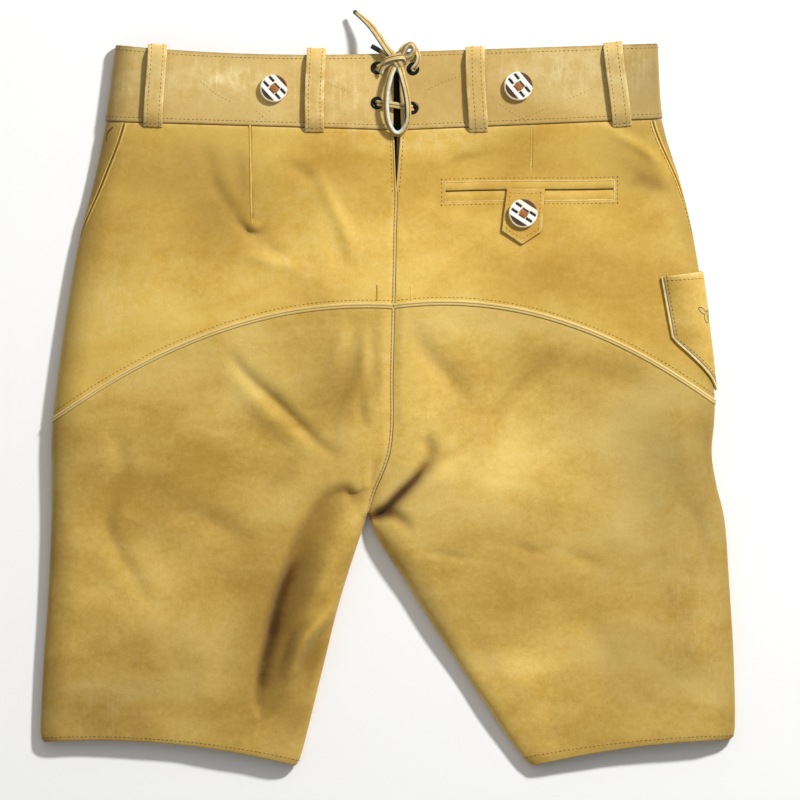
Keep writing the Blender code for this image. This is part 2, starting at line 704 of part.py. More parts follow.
def make_yoke_welts():
    """A narrow welt over the arched seam between yoke and leg, all the way to the side seam."""
    for side, half in (("left", LEFT), ("right", RIGHT)):
        turns = spread(0.05, 1.0, 7)[:-1] + spread(1.0, 2.985, 18)
        middles, normals = [], []
        for share in (-0.5, 0.0, 0.5):
            line, out = [], []
            for turn in turns:
                place, normal, down, _ = half.frame(ARCH, turn, HIDE)
                line.append(place + down * WELT_WIDTH * share + normal * WELT_LIFT)
                out.append(normal)
            middles.append(line)
            normals.append(out)
        sheet_object("yoke_welt_" + side, middles, normals, WELT_THICK / 2, WELT_THICK / 2, PALE)


WELT_WIDTH = 5.0
WELT_THICK = 1.2
WELT_LIFT = HIDE / 2 + LAY_GAP + WELT_THICK / 2


def make_pocket(skin, panels):
    """A window in the right yoke, a welt along each side of its slit, and the buttoned tab."""
    window = [
        (POCKET_LEFT, POCKET_FOOT_Y - POCKET_TILT), (POCKET_RIGHT, POCKET_FOOT_Y + POCKET_TILT),
        (POCKET_RIGHT, POCKET_TOP_Y + POCKET_TILT), (POCKET_LEFT, POCKET_TOP_Y - POCKET_TILT),
    ]
    cut(panels["yoke_right"], cutter("pocket_window", window, 10.0, 30.0))
    spans = (
        ("pocket_welt_upper", POCKET_SLIT_Y + POCKET_SLIT / 2, POCKET_TOP_Y - SEAM_GAP),
        ("pocket_welt_lower", POCKET_FOOT_Y + SEAM_GAP, POCKET_SLIT_Y - POCKET_SLIT / 2),
    )
    for name, foot_y, top_y in spans:
        plan = []
        for y in (top_y, (top_y + foot_y) / 2, foot_y):
            line = []
            for share in spread(0.0, 1.0, 12):
                x = POCKET_LEFT + SEAM_GAP + share * (POCKET_RIGHT - POCKET_LEFT - 2 * SEAM_GAP)
                line.append((x, y + POCKET_TILT * (2.0 * share - 1.0)))
            plan.append(line)
        laid(name, skin, plan, 0.5, HIDE, PALE)
    make_tab(skin)


def make_tab(skin):
    top, shoulder = TAB_ROWS
    columns, rows = 7, 8
    plan = []
    for i in range(rows):
        down = i / (rows - 1)
        line = []
        for j in range(columns):
            share = j / (columns - 1)
            tip = TAB_TIP * (1.0 - abs(2.0 * share - 1.0))
            foot_y = shoulder.y - tip
            y = top.y + (foot_y - top.y) * down
            widen = min((top.y - y) / (top.y - shoulder.y), 1.0)
            left = top.left_x + (shoulder.left_x - top.left_x) * widen
            right = top.right_x + (shoulder.right_x - top.right_x) * widen
            line.append((left + (right - left) * share, y))
        plan.append(line)
    lift = 0.5 + HIDE + LAY_GAP
    laid("pocket_tab", skin, plan, lift, HIDE, SMOOTH)
    ground = skin.at(POCKET_BUTTON.x, POCKET_BUTTON.y)[0][2] + lift + HIDE / 2 + SEAM_GAP
    button(POCKET_BUTTON.name, (POCKET_BUTTON.x, POCKET_BUTTON.y, ground), TAB_STEM_LONG)


def knife_top(girth):
    return KNIFE_TOP_Y - KNIFE_TOP_TILT * abs(girth) / KNIFE_BACK


def knife_foot(girth):
    """Straight sides that run in to a point at the outer edge."""
    reach = KNIFE_BACK if girth > 0 else KNIFE_FRONT
    return KNIFE_TIP_Y + (KNIFE_SIDE_Y - KNIFE_TIP_Y) * (abs(girth) / reach) ** 1.1


def knife_grid(girths, downs, thick, puffed):
    """Middle points and normals of a sheet over the right edge, off the wall by the puff."""
    middles, normals = [], []
    for down in downs:
        line, out = [], []
        for girth in girths:
            y = knife_top(girth) + (knife_foot(girth) - knife_top(girth)) * down
            row = RIGHT.row_at(y, lambda value: RIGHT.turn_at_girth(value, girth))
            turn = RIGHT.turn_at_girth(row, girth)
            place, normal, _, _ = RIGHT.frame(row, turn, HIDE, knife_lift)
            on_back = ease(girth / 10.0) * math.sin(math.pi * min(max(girth / KNIFE_BACK, 0.0), 1.0))
            puff = puffed * on_back * (1.0 - down) ** 0.8
            line.append(place + normal * (HIDE / 2 + LAY_GAP + thick / 2 + puff))
            out.append(normal)
        middles.append(line)
        normals.append(out)
    return middles, normals


def make_knife_pocket():
    round_girth = RIGHT.girth_at_one(HIP_LOW)
    girths = [-KNIFE_FRONT, -(KNIFE_FRONT + LOWER_ROLL) / 2]
    girths += spread(-RIGHT.girth_at_one(HIP_LOW, front=True), 0.0, 6)[:-1]
    girths += spread(0.0, round_girth, 9)[:-1] + spread(round_girth, KNIFE_BACK, 5)
    middles, normals = knife_grid(girths, spread(0.03, 1.0, 12), HIDE, KNIFE_PUFF)
    sheet_object("knife_pocket", middles, normals, HIDE / 2, HIDE / 2, SUEDE)


def make_lace():
    turned_knot()
    for strand in STRANDS:
        route = [Vector(point) for point in strand.route]
        spots = [
            Vector([spline([point[axis] for point in route], at) for axis in range(3)])
            for at in spread(0.0, len(route) - 1.0, max(14, 2 * len(route)))
        ]
        curve = bpy.data.curves.new(strand.name, "CURVE")
        curve.dimensions = "3D"
        line = curve.splines.new("POLY")
        line.points.add(len(spots) - 1)
        for point, spot in zip(line.points, spots):
            point.co = (*(spot * MM), 1.0)
        curve.bevel_depth = LACE / 2 * MM
        curve.bevel_resolution = 2
        curve.use_fill_caps = True
        obj = bpy.data.objects.new(strand.name, curve)
        bpy.context.scene.collection.objects.link(obj)
        curve.materials.append(material(THONG))


def turned_knot():
    """The knot is one closed bead, a little flattened."""
    mesh = bmesh.new()
    bmesh.ops.create_uvsphere(mesh, u_segments=14, v_segments=8, radius=1.0)
    bmesh.ops.scale(mesh, verts=mesh.verts, vec=Vector(KNOT_RADII) * MM)
    obj = mesh_object(KNOT.name, mesh, THONG)
    obj.location = Vector((KNOT.x, KNOT.y, KNOT_Z)) * MM


def main():
    clear_scene()
    panels = make_panels()
    skin = Skin()
    make_flap(panels)
    make_yoke_welts()
    make_loops(skin)
    make_band_buttons(skin)
    make_eyelets(skin, panels)
    make_pocket(skin, panels)
    make_knife_pocket()
    make_lace()


main()
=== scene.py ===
"""Lederhosen lying flat with the back up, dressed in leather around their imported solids.

The waist points to +Y, the back faces +Z and the wearer's right leg lies on the +X side. Sizes
are in millimetres until a mesh is made, and metres in the scene.
"""

import logging
import math
from dataclasses import dataclass
from enum import Enum
from typing import Any, Callable, Optional, Sequence, Union

import bmesh
import bpy
import numpy as np
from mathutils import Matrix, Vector
from mathutils.bvhtree import BVHTree

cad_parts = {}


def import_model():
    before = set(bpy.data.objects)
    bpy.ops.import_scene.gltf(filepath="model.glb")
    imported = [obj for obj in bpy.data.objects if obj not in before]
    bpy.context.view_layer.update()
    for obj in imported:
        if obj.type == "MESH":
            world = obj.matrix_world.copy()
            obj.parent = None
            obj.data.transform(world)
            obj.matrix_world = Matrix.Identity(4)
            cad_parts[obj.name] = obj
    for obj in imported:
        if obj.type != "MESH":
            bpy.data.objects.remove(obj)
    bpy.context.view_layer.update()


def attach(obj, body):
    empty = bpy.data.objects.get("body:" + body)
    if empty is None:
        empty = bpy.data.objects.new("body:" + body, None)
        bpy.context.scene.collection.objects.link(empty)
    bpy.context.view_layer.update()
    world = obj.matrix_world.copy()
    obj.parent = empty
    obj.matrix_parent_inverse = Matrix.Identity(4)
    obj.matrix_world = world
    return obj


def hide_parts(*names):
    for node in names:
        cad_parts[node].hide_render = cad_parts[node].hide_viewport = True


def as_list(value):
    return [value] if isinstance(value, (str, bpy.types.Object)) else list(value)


LOG = logging.getLogger("lederhosen")
MM = 0.001
ROOT = "root"
UP, DOWN = (0.0, 0.0, 1.0), (0.0, 0.0, -1.0)
PLAIN_TONE = (0.5, 0.0, 0.0)

# Leather: thickness, raised edges, seams, the fine lines beside an edge, and how far from a
# place its slope is measured, in rows and turns
HIDE, BAND, HEM = 1.6, 3.0, 3.0
EDGE_HEIGHT, LOWER_ROLL = 6.5, 5.0
SEAM_TURNED, LAY_GAP = 0.9, 0.35
CENTRE_X = 7.0
EDGE_LINES = np.array((0.0, 0.18, 0.5, 1.0, 1.8))
PROBE = 0.012

# Rows of a half, from the waist to the hem
WAIST_TOP, WAIST_SEAM, HIP_HIGH, HIP_MID = 0, 1, 2, 3
ARCH, CROTCH, HEM_FOLD, LAST_ROW = 5, 8, 11, 12

# Drop front: half widths, heights up the garment, corner, clearance and buttons
FLAP_HALF_TOP, FLAP_HALF_FOOT = 105.0, 86.0
FLAP_TOP_Y, FLAP_FOOT_Y = 243.0, 66.0
FLAP_CORNER, FLAP_CLEAR = 18.0, 1.2
FLAP_BUTTON_X, FLAP_BUTTON_Y, FLAP_BUTTON_RISE = 82.0, 229.0, 4.6
FLAP_MIDDLE = np.array((CENTRE_X, (FLAP_TOP_Y + FLAP_FOOT_Y) / 2))

Array = np.ndarray
Number = Union[float, Array]
Place = tuple[float, float]
Spot = tuple[float, float, float]
Line = tuple[Array, Array]


class Slot(Enum):
    """Finish slots of the record."""

    SUEDE = "suede_leather"
    SMOOTH = "smooth_leather"
    PALE = "pale_leather_edge"
    HORN = "horn"
    METAL = "blackened_metal"
    THONG = "leather_thong"


class Side(Enum):
    """The two halves of the garment, as they lie."""

    LEFT = "left"
    RIGHT = "right"


def linear(*display: int) -> Spot:
    """Turns a display colour, from 0 to 255, into the linear one that a shader takes."""
    shares = [value / 255.0 for value in display]
    return tuple(s / 12.92 if s <= 0.04045 else ((s + 0.055) / 1.055) ** 2.4 for s in shares)


def ease(value: Number) -> Any:
    """Gives 0 below 0, 1 above 1 and a smooth step between."""
    value = np.clip(value, 0.0, 1.0)
    return value * value * (3.0 - 2.0 * value)


def soft(distance: Array) -> Array:
    """Gives 1 where a distance is below 0 and 0 where it is above, with a little blur."""
    return 1.0 - ease(distance / 0.28 + 0.5)


def bell(value: Number) -> Any:
    """Gives a round hill of height 1 about 0."""
    return np.exp(-0.5 * np.square(value))


def arc(line: Array) -> Array:
    """Gives how far along a line each of its points lies."""
    return np.concatenate(([0.0], np.cumsum(np.linalg.norm(np.diff(line, axis=0), axis=1))))


def unit(vectors: Array) -> Array:
    """Gives vectors of length 1."""
    return vectors / np.maximum(np.linalg.norm(vectors, axis=-1, keepdims=True), 1e-12)


def spline(values: Array, at: Number) -> Array:
    """Reads a Catmull-Rom curve through evenly spaced values.

    Args:
        values: The values, one to a row number; more than one column is allowed.
        at: Where to read, in row numbers.

    Returns:
        The values there.
    """
    values, at = np.asarray(values, float), np.asarray(at, float)
    first = np.clip(np.floor(at).astype(int), 0, len(values) - 2)
    t = at - first
    t = t[..., None] if values.ndim > 1 else t
    ends = [2 * values[0] - values[1]], [2 * values[-1] - values[-2]]
    padded = np.concatenate((ends[0], values, ends[1]))
    p, a, b, q = (padded[first + k] for k in range(4))
    return 0.5 * (
        2 * a + (b - p) * t + (2 * p - 5 * a + 4 * b - q) * t * t + (3 * a - p - 3 * b + q) * t ** 3
    )


def read_line(line: Array, run: Array, at: Array) -> Array:
    """Reads each column of a line, whose run is given, at places along it."""
    return np.stack([np.interp(at, run, column) for column in line.T], axis=1)


def even_steps(line: Array, step: float) -> Array:
    """Resamples a line so that its points are evenly spaced by about a step."""
    run = arc(line)
    return read_line(line, run, np.linspace(0, run[-1], max(int(round(run[-1] / step)), 2) + 1))


def smooth_route(route: Sequence[float], step: float) -> Array:
    """Lays a smooth line with even steps through places, given as x and y in turn."""
    places = np.reshape(route, (-1, 2)).astype(float)
    return even_steps(spline(places, np.linspace(0, len(places) - 1, 24 * len(places) - 23)), step)


def even_with_edges(length: float, step: float) -> Array:
    """Gives rising shares of a length, evenly spaced, with fine ones beside both ends.

    Args:
        length: The length.
        step: Spacing in the middle.

    Returns:
        Shares from 0 to 1.
    """
    near = EDGE_LINES / length
    inner = near[-1] + step / length
    count = max(int(round((1 - 2 * inner) * length / step)), 1)
    return np.concatenate((near, np.linspace(inner, 1 - inner, count + 1), 1 - near[::-1]))


@dataclass(frozen=True)
class Crease:
    """A soft ridge of the leather, or a trough where its rise is below 0.

    The skew, from -1 to 1, widens it on the left of its route, the shade is painted shade that
    darkens and browns the leather in it, a painted highlight where it is below 0, and the peak is
    the share of the route at which it is strongest.
    """

    rise: float
    half_width: float
    route: tuple[float, ...]
    skew: float = 0.0
    shade: float = 0.0
    peak: float = 0.5

    def strength(self, x: Array, y: Array) -> Array:
        """Gives the share of the rise at places, which fades at both ends.

        Args:
            x: Places across.
            y: Places up the garment.

        Returns:
            Shares from 0 to 1.
        """
        line = smooth_route(self.route, max(6.0, self.half_width))
        best, share, side = np.full(np.shape(x), 1e9), 0.0, 0.0
        for k, ((a, b), (dx, dy)) in enumerate(zip(line, np.diff(line, axis=0))):
            t = np.clip(((x - a) * dx + (y - b) * dy) / (dx * dx + dy * dy), 0.0, 1.0)
            away = np.hypot(x - a - t * dx, y - b - t * dy)
            nearer = away < best
            best = np.where(nearer, away, best)
            share = np.where(nearer, (k + t) / (len(line) - 1), share)
            side = np.where(nearer, np.sign(dx * (y - b) - dy * (x - a)), side)
        share = np.interp(share, (0.0, self.peak, 1.0), (0.0, 0.5, 1.0))
        width = self.half_width * (1.0 + self.skew * side)
        return bell(best / width) * (0.3 + 0.7 * np.sin(math.pi * share))


@dataclass(frozen=True)
class Patch:
    """A soft, turned patch of leather that is lighter, browner or rubbed pale."""

    x: float
    y: float
    wide: float
    tall: float
    turn: float = 0.0
    lighter: float = 0.0
    brown: float = 0.0
    rubbed: float = 0.0

    def strength(self, x: Array, y: Array) -> Array:
        """Gives the strength of the patch at places across and up the garment."""
        way = (x - self.x + 1j * (y - self.y)) * np.exp(-1j * math.radians(self.turn))
        return bell(np.hypot(way.real / self.wide, way.imag / self.tall))


# Rise, half width, route as x and y in turn, skew, painted shade and peak of each crease
CREASES = tuple(Crease(*row) for row in (
    (-12, 8, (-32, -69, -46, -74, -58, -90, -68, -109, -77, -133, -86, -158, -91, -183, -96,
     -208, -99, -233), 0.5, 0.56),
    (-3.6, 3, (-74, -126, -83, -146, -89, -168, -93, -187, -98, -208, -101, -230), 0.3, 0.95),
    (-1.5, 2.2, (-64, -172, -72, -178, -79, -192, -84, -210), 0, 0.3),
    (2.4, 4, (-38, -118, -50, -140, -62, -158, -72, -172), 0, -0.12),
    (2.4, 10, (-41, -90, -48, -121, -58, -152, -68, -183)),
    (1.6, 12, (-98, -121, -107, -168, -113, -214)),
    (8, 3.4, (-36, -146, -45, -163, -55, -174, -65, -186, -70, -197, -73, -209), -0.4, -0.25,
     0.4),
    (-8, 5.2, (-46, -179, -55, -193, -62, -208, -65, -225), 0, 0.4),
    (2.2, 5, (-71, -212, -80, -222, -91, -230, -102, -239), 0, -0.05),
    (-2.5, 7, (-63, -230, -69, -247, -77, -264), 0, 0.3),
    (-2, 3.5, (-44, -68, -34, -66, -26, -74, -20, -84), 0, 0.2),
    (-2.4, 5, (-70, -44, -80, -57, -91, -66, -98, -78), 0, 0.16),
    (-3.8, 3.6, (-122, 38, -107, 20, -87, 2, -68, -16, -54, -30, -43, -37), 0, 0.16),
    (2.8, 6, (-116, 20, -101, 2, -82, -18, -63, -32), 0, -0.05),
    (1, 7, (-103, 34, -83, 13, -63, -7)),
    (-2.6, 5, (-210, -27, -205, -51, -214, -74, -218, -94, -208, -117, -197, -136, -188, -152),
     0, 0.1),
    (1.4, 8, (-227, -20, -221, -51, -230, -82), 0, -0.03),
    (-2.2, 6, (-161, -83, -142, -87, -124, -98, -111, -109), 0, 0.12),
    (-3, 5, (-24, 62, -26, 39, -32, 16, -40, -4, -43, -18), 0, 0.14),
    (1.8, 4, (-33, 65, -37, 43, -44, 26), 0, -0.04),
    (-1.6, 3.6, (-12, 66, -12, 43, -10, 20, -12, 0), 0, 0.08),
    (-2.2, 2.8, (-16, 10, -20, -2, -18, -15), 0, 0.22),
    (1.3, 3, (-17, 58, -17, 35, -18, 16), 0, -0.03),
    (-1.8, 2.6, (-1, -40, -8, -46, -12, -55, -11, -69), 0, 0.1),
    (1.3, 2.2, (-14, -46, -16, -62, -15, -77), 0, -0.06),
    (-9, 4, (-16, -89, -9, -86, 0, -80, 8, -72, 20, -60, 29, -49, 33, -38, 31, -30), -0.2, 0.7,
     0.3),
    (-3, 2, (-16, -88, -10, -86, -3, -83, 4, -76, 12, -68, 22, -58, 29, -48), 0, 1.5, 0.2),
    (2.6, 7, (4, -83, 20, -69, 35, -55, 46, -41), 0, -0.04),
    (-4.5, 3.4, (-12, -88, -2, -85, 8, -87, 16, -94), 0, 0.9, 0.2),
    (-3.2, 4, (126, 35, 104, 13, 88, -5, 76, -21, 61, -35, 45, -44, 34, -51), 0, 0.13),
    (2, 7, (112, 8, 94, -12, 80, -27, 63, -41)),
    (-2.8, 6, (21, 65, 26, 47, 40, 29, 54, 13, 60, 1), 0, 0.12),
    (1.8, 10, (41, 51, 61, 35, 80, 20), 0, -0.03),
    (-1.4, 8, (126, 35, 151, 29, 182, 20, 213, 10), 0, 0.1),
    (-1.2, 3, (30, -114, 49, -118, 66, -121), 0, 0.07),
    (-1.3, 3, (100, -109, 112, -115, 129, -111), 0, 0.08),
    (-1.1, 4, (135, -115, 157, -122, 168, -127), 0, 0.05),
    (-1.6, 6, (236, -74, 244, -98, 249, -121), 0, 0.08),
    (-1.5, 4, (-142, 199, -134, 172, -121, 152, -110, 138, -104, 135), 0, 0.1),
    (-1.4, 5, (-118, 200, -115, 179, -112, 160), 0, 0.12),
    (-2.8, 2.4, (-117, 144, -110, 136, -104, 133, -97, 136), 0, 0.32),
    (2, 2.2, (-108, 140, -104, 139, -99, 140), 0, -0.1),
    (1.5, 3.6, (-55, 182, -44, 160, -35, 140, -28, 121), 0, -0.1),
    (-1.8, 6, (-42, 138, -38, 119, -35, 101), 0, 0.08),
    (-1.4, 4, (-82, 187, -68, 183, -55, 174), 0, 0.08),
    (1.5, 4, (-115, 119, -91, 112, -65, 105), 0, -0.04),
    (-1.4, 4, (-98, 129, -87, 119, -76, 116), 0, 0.08),
    (-0.8, 4, (193, 200, 204, 183, 214, 169, 227, 161), 0, 0.05),
    (1.5, 3, (170, 217, 191, 205, 211, 192, 222, 182), 0, -0.2),
    (-1.4, 3, (46, 180, 55, 190, 74, 194), 0, 0.08),
    (-1.6, 5, (224, 160, 232, 140, 236, 121), 0, 0.12),
    (1.6, 9, (-185, 35, -154, 58, -115, 66)),
    (-1.4, 9, (-247, -183, -216, -195, -177, -191), 0, 0.05),
    (1.6, 10, (-146, -183, -141, -207, -149, -230), 0, -0.03),
    (-1.6, 9, (135, -152, 166, -183, 174, -230), 0, 0.05),
    (-1.5, 7, (49, -160, 65, -183, 88, -222, 104, -254), 0, 0.06),
    (1.5, 9, (236, -152, 239, -183, 235, -214), 0, -0.03),
))

# Middle, half sizes, turn in degrees, and how much lighter, browner and rubbed
PATCHES = tuple(Patch(*row) for row in (
    (-150, -95, 52, 40, -25, 0, 0.08), (-118, -150, 34, 46, 10, 0.04, 0.1),
    # The darker, browner patches at (-88, -205) and (-74, -140) are partly painted shade in the
    # hollow of the inner left leg's fold and partly darker leather.
    (-196, -140, 40, 50, 0, 0.12, 0, 0.1), (-88, -205, 15, 38, 8, -0.2, 0.22),
    (-74, -140, 20, 34, 22, -0.06, 0.12), (-44, -70, 26, 16, 30, -0.06, 0.1),
    (-40, 20, 18, 42, 8, -0.12, 0.1), (-16, -46, 18, 34, 0, 0.24, 0, 0.12),
    (-226, -235, 34, 20, 0, -0.08, 0.16, 0.14), (46, 14, 46, 40, 0, 0.18, 0, 0.08),
    (84, -48, 54, 32, -15, 0.2, 0, 0.1), (128, -150, 60, 34, -20, 0, 0.08),
    (196, -206, 34, 30, 0, -0.08, 0.16), (236, -180, 22, 60, 0, 0.02, 0, 0.24),
    (106, -222, 36, 40, -20, 0.26, 0, 0.12), (222, -44, 34, 56, 0, -0.2, 0.06, 0.1),
    (201, 179, 8, 4, -35, -0.1, 0.3), (209, 171, 7, 4, 0, -0.09, 0.22),
    (195, 174, 6, 3, 20, -0.06, 0.15), (188, 190, 22, 15, -40, -0.04, 0.2),
    (128, 190, 44, 18, 0, -0.05, 0.22), (-165, 180, 52, 40, 0, -0.06, 0.22),
    (-128, 156, 24, 34, 30, -0.12, 0.22), (-40, 186, 26, 22, 0, -0.02, 0.2),
    (-60, 118, 60, 34, 10, 0.08, 0, 0.14), (20, 110, 40, 40, 0, 0.1, 0, 0.05),
    (150, 106, 50, 20, 14, -0.05, 0.14), (-226, 96, 30, 50, 0, -0.02, 0.1, 0.1),
    (-150, 254, 40, 14, 0, 0.03, 0, 0.26), (-36, 246, 26, 24, 0, 0.12, 0, 0.3),
    (150, 262, 46, 14, 0, -0.1, 0.04, 0.5), (202, 248, 16, 36, 0, -0.24, 0.14),
    (30, 250, 30, 24, 0, -0.03, 0.14, 0), (-203, 248, 15, 36, 0, -0.12, 0.1, 0.1),
    (-119, 254, 13, 6, 0, 0.06, 0, 0.6), (-185, -222, 54, 26, 0, -0.12, 0.08),
    (100, 232, 26, 16, 0, -0.08, 0.08), (120, 126, 34, 9, 10, 0.1, 0, 0.1),
    (-190, 90, 30, 14, 30, 0.06, 0, 0.15), (40, 206, 26, 8, 0, 0.1, 0, 0.3),
))


@dataclass(frozen=True)
class Waves:
    """Gentle unevenness of laid leather: waves of many directions, by length and height."""

    seed: int = 11
    sizes: tuple[Place, ...] = ((150.0, 1.1), (84.0, 0.62), (46.0, 0.22), (24.0, 0.05))
    count: int = 7

    def at(self, x: Array, y: Array) -> Array:
        """Gives the height of the waves at places.

        Args:
            x: Places across.
            y: Places up the garment.

        Returns:
            Heights in millimetres.
        """
        random = np.random.default_rng(self.seed)
        total = np.zeros(np.shape(x))
        for length, height in self.sizes:
            for _ in range(self.count):
                way, start = random.uniform(0, 2 * math.pi, 2)
                near = length * random.uniform(0.8, 1.25)
                run = 2 * math.pi * (x * math.cos(way) + y * math.sin(way)) / near + start
                total = total + height / math.sqrt(self.count) * np.sin(run)
        return total


def button_bump(x: Array, y: Array) -> Array:
    """Gives how far the drop front and the band rise over a button of the drop front."""
    away = np.hypot(np.abs(x - CENTRE_X) - FLAP_BUTTON_X, y - FLAP_BUTTON_Y)
    return FLAP_BUTTON_RISE * (1.0 - ease((away - 16.0) / 28.0))


def band_lift(x: Array, y: Array) -> Array:
    """Gives how far the band lies over the top edge of the drop front."""
    beside = np.abs(x - CENTRE_X) - FLAP_HALF_TOP - 8.0
    return (HIDE + FLAP_CLEAR) * (1.0 - ease(beside / 22.0)) + button_bump(x, y)


def knife_lift(x: Array, y: Array) -> Array:
    """Gives how far the right front lies over the knife pocket that is folded under."""
    return 2.3 * ease((x - 176.0) / 34.0) * ease((136.5 - y) / 20.0) * ease((y + 19.5) / 20.0)


def no_lift(x: Array, y: Array) -> float:
    """Leaves the front on the ground."""
    return 0.0


@dataclass(frozen=True)
class Wall:
    """A sheet's thickness, and how far its front lies over what is under it."""

    sheet: float = HIDE
    lift: Callable[[Array, Array], Number] = no_lift


PLAIN, BANDED, OVER_KNIFE = Wall(), Wall(BAND, band_lift), Wall(HIDE, knife_lift)

# Height of the back, width of its rounded sides, and how far its inner side turns down
CROWN = np.array((17, 17.5, 18.5, 20, 21.5, 22, 22, 21, 19.5, 18, 16.5, 14, 13), float)
ROLL = np.array((14, 16, 20, 24, 26, 26, 26, 26, 24, 22, 22, 20, 20), float)
INNER_TURN = np.array((0, 0, 0, 0, 0, 0, 0, 0.1, 1, 1, 1, 1, 1), float)

# Outer end of a row, its inner end, its bow and how far the side seam lies on the back
LEFT_ROWS = np.array((
    (-210.2, 280.8, 5.6, 274.6, -3.9, 13.0), (-218.4, 221.1, 5.0, 214.5, 0.0, 13.6),
    (-227.8, 173.9, 7.0, 166.1, 1.6, 6.5), (-240.2, 124.8, 6.2, 138.1, 6.2, 0.0),
    (-251.2, 58.5, 5.7, 108.4, 15.6, 0.0), (-260.1, -11.7, 4.9, 77.0, 26.5, 0.0),
    (-260.9, -49.1, 3.6, 25.7, 21.8, 0.0), (-260.9, -81.9, 1.9, -33.5, 14.0, 0.0),
    (-262.1, -117.0, -14.7, -84.0, 6.2, 0.0), (-264.0, -154.4, -35.9, -150.5, 2.3, 0.0),
    (-267.5, -205.1, -49.1, -202.8, 0.0, 0.0), (-269.5, -253.5, -65.5, -269.1, 6.2, 0.0),
    (-267.2, -262.9, -71.0, -281.6, 7.8, 0.0),
))
RIGHT_ROWS = np.array((
    (209.8, 282.0, 8.6, 275.3, 0.0, 7.0), (213.7, 223.1, 11.0, 214.5, 0.0, 7.0),
    (228.5, 171.6, 7.0, 166.1, 1.6, 1.5), (238.7, 128.7, 6.2, 138.1, 4.7, 0.0),
    (248.8, 64.7, 5.7, 108.4, 13.3, 0.0), (255.1, 2.2, 4.9, 77.0, 27.6, 0.0),
    (252.7, -36.7, 3.6, 25.7, 17.2, 0.0), (256.6, -63.2, 1.9, -33.5, 7.8, 0.0),
    (262.9, -91.3, -14.7, -84.0, 0.0, 0.0), (266.4, -139.6, 15.6, -139.6, 0.0, 0.0),
    (269.9, -198.9, 53.8, -198.9, 0.0, 0.0), (270.7, -251.2, 99.1, -266.0, 3.1, 0.0),
    (266.8, -261.3, 113.1, -281.6, 3.9, 0.0),
))
OUT_X, OUT_Y, IN_X, IN_Y, BOW, WRAP = range(6)


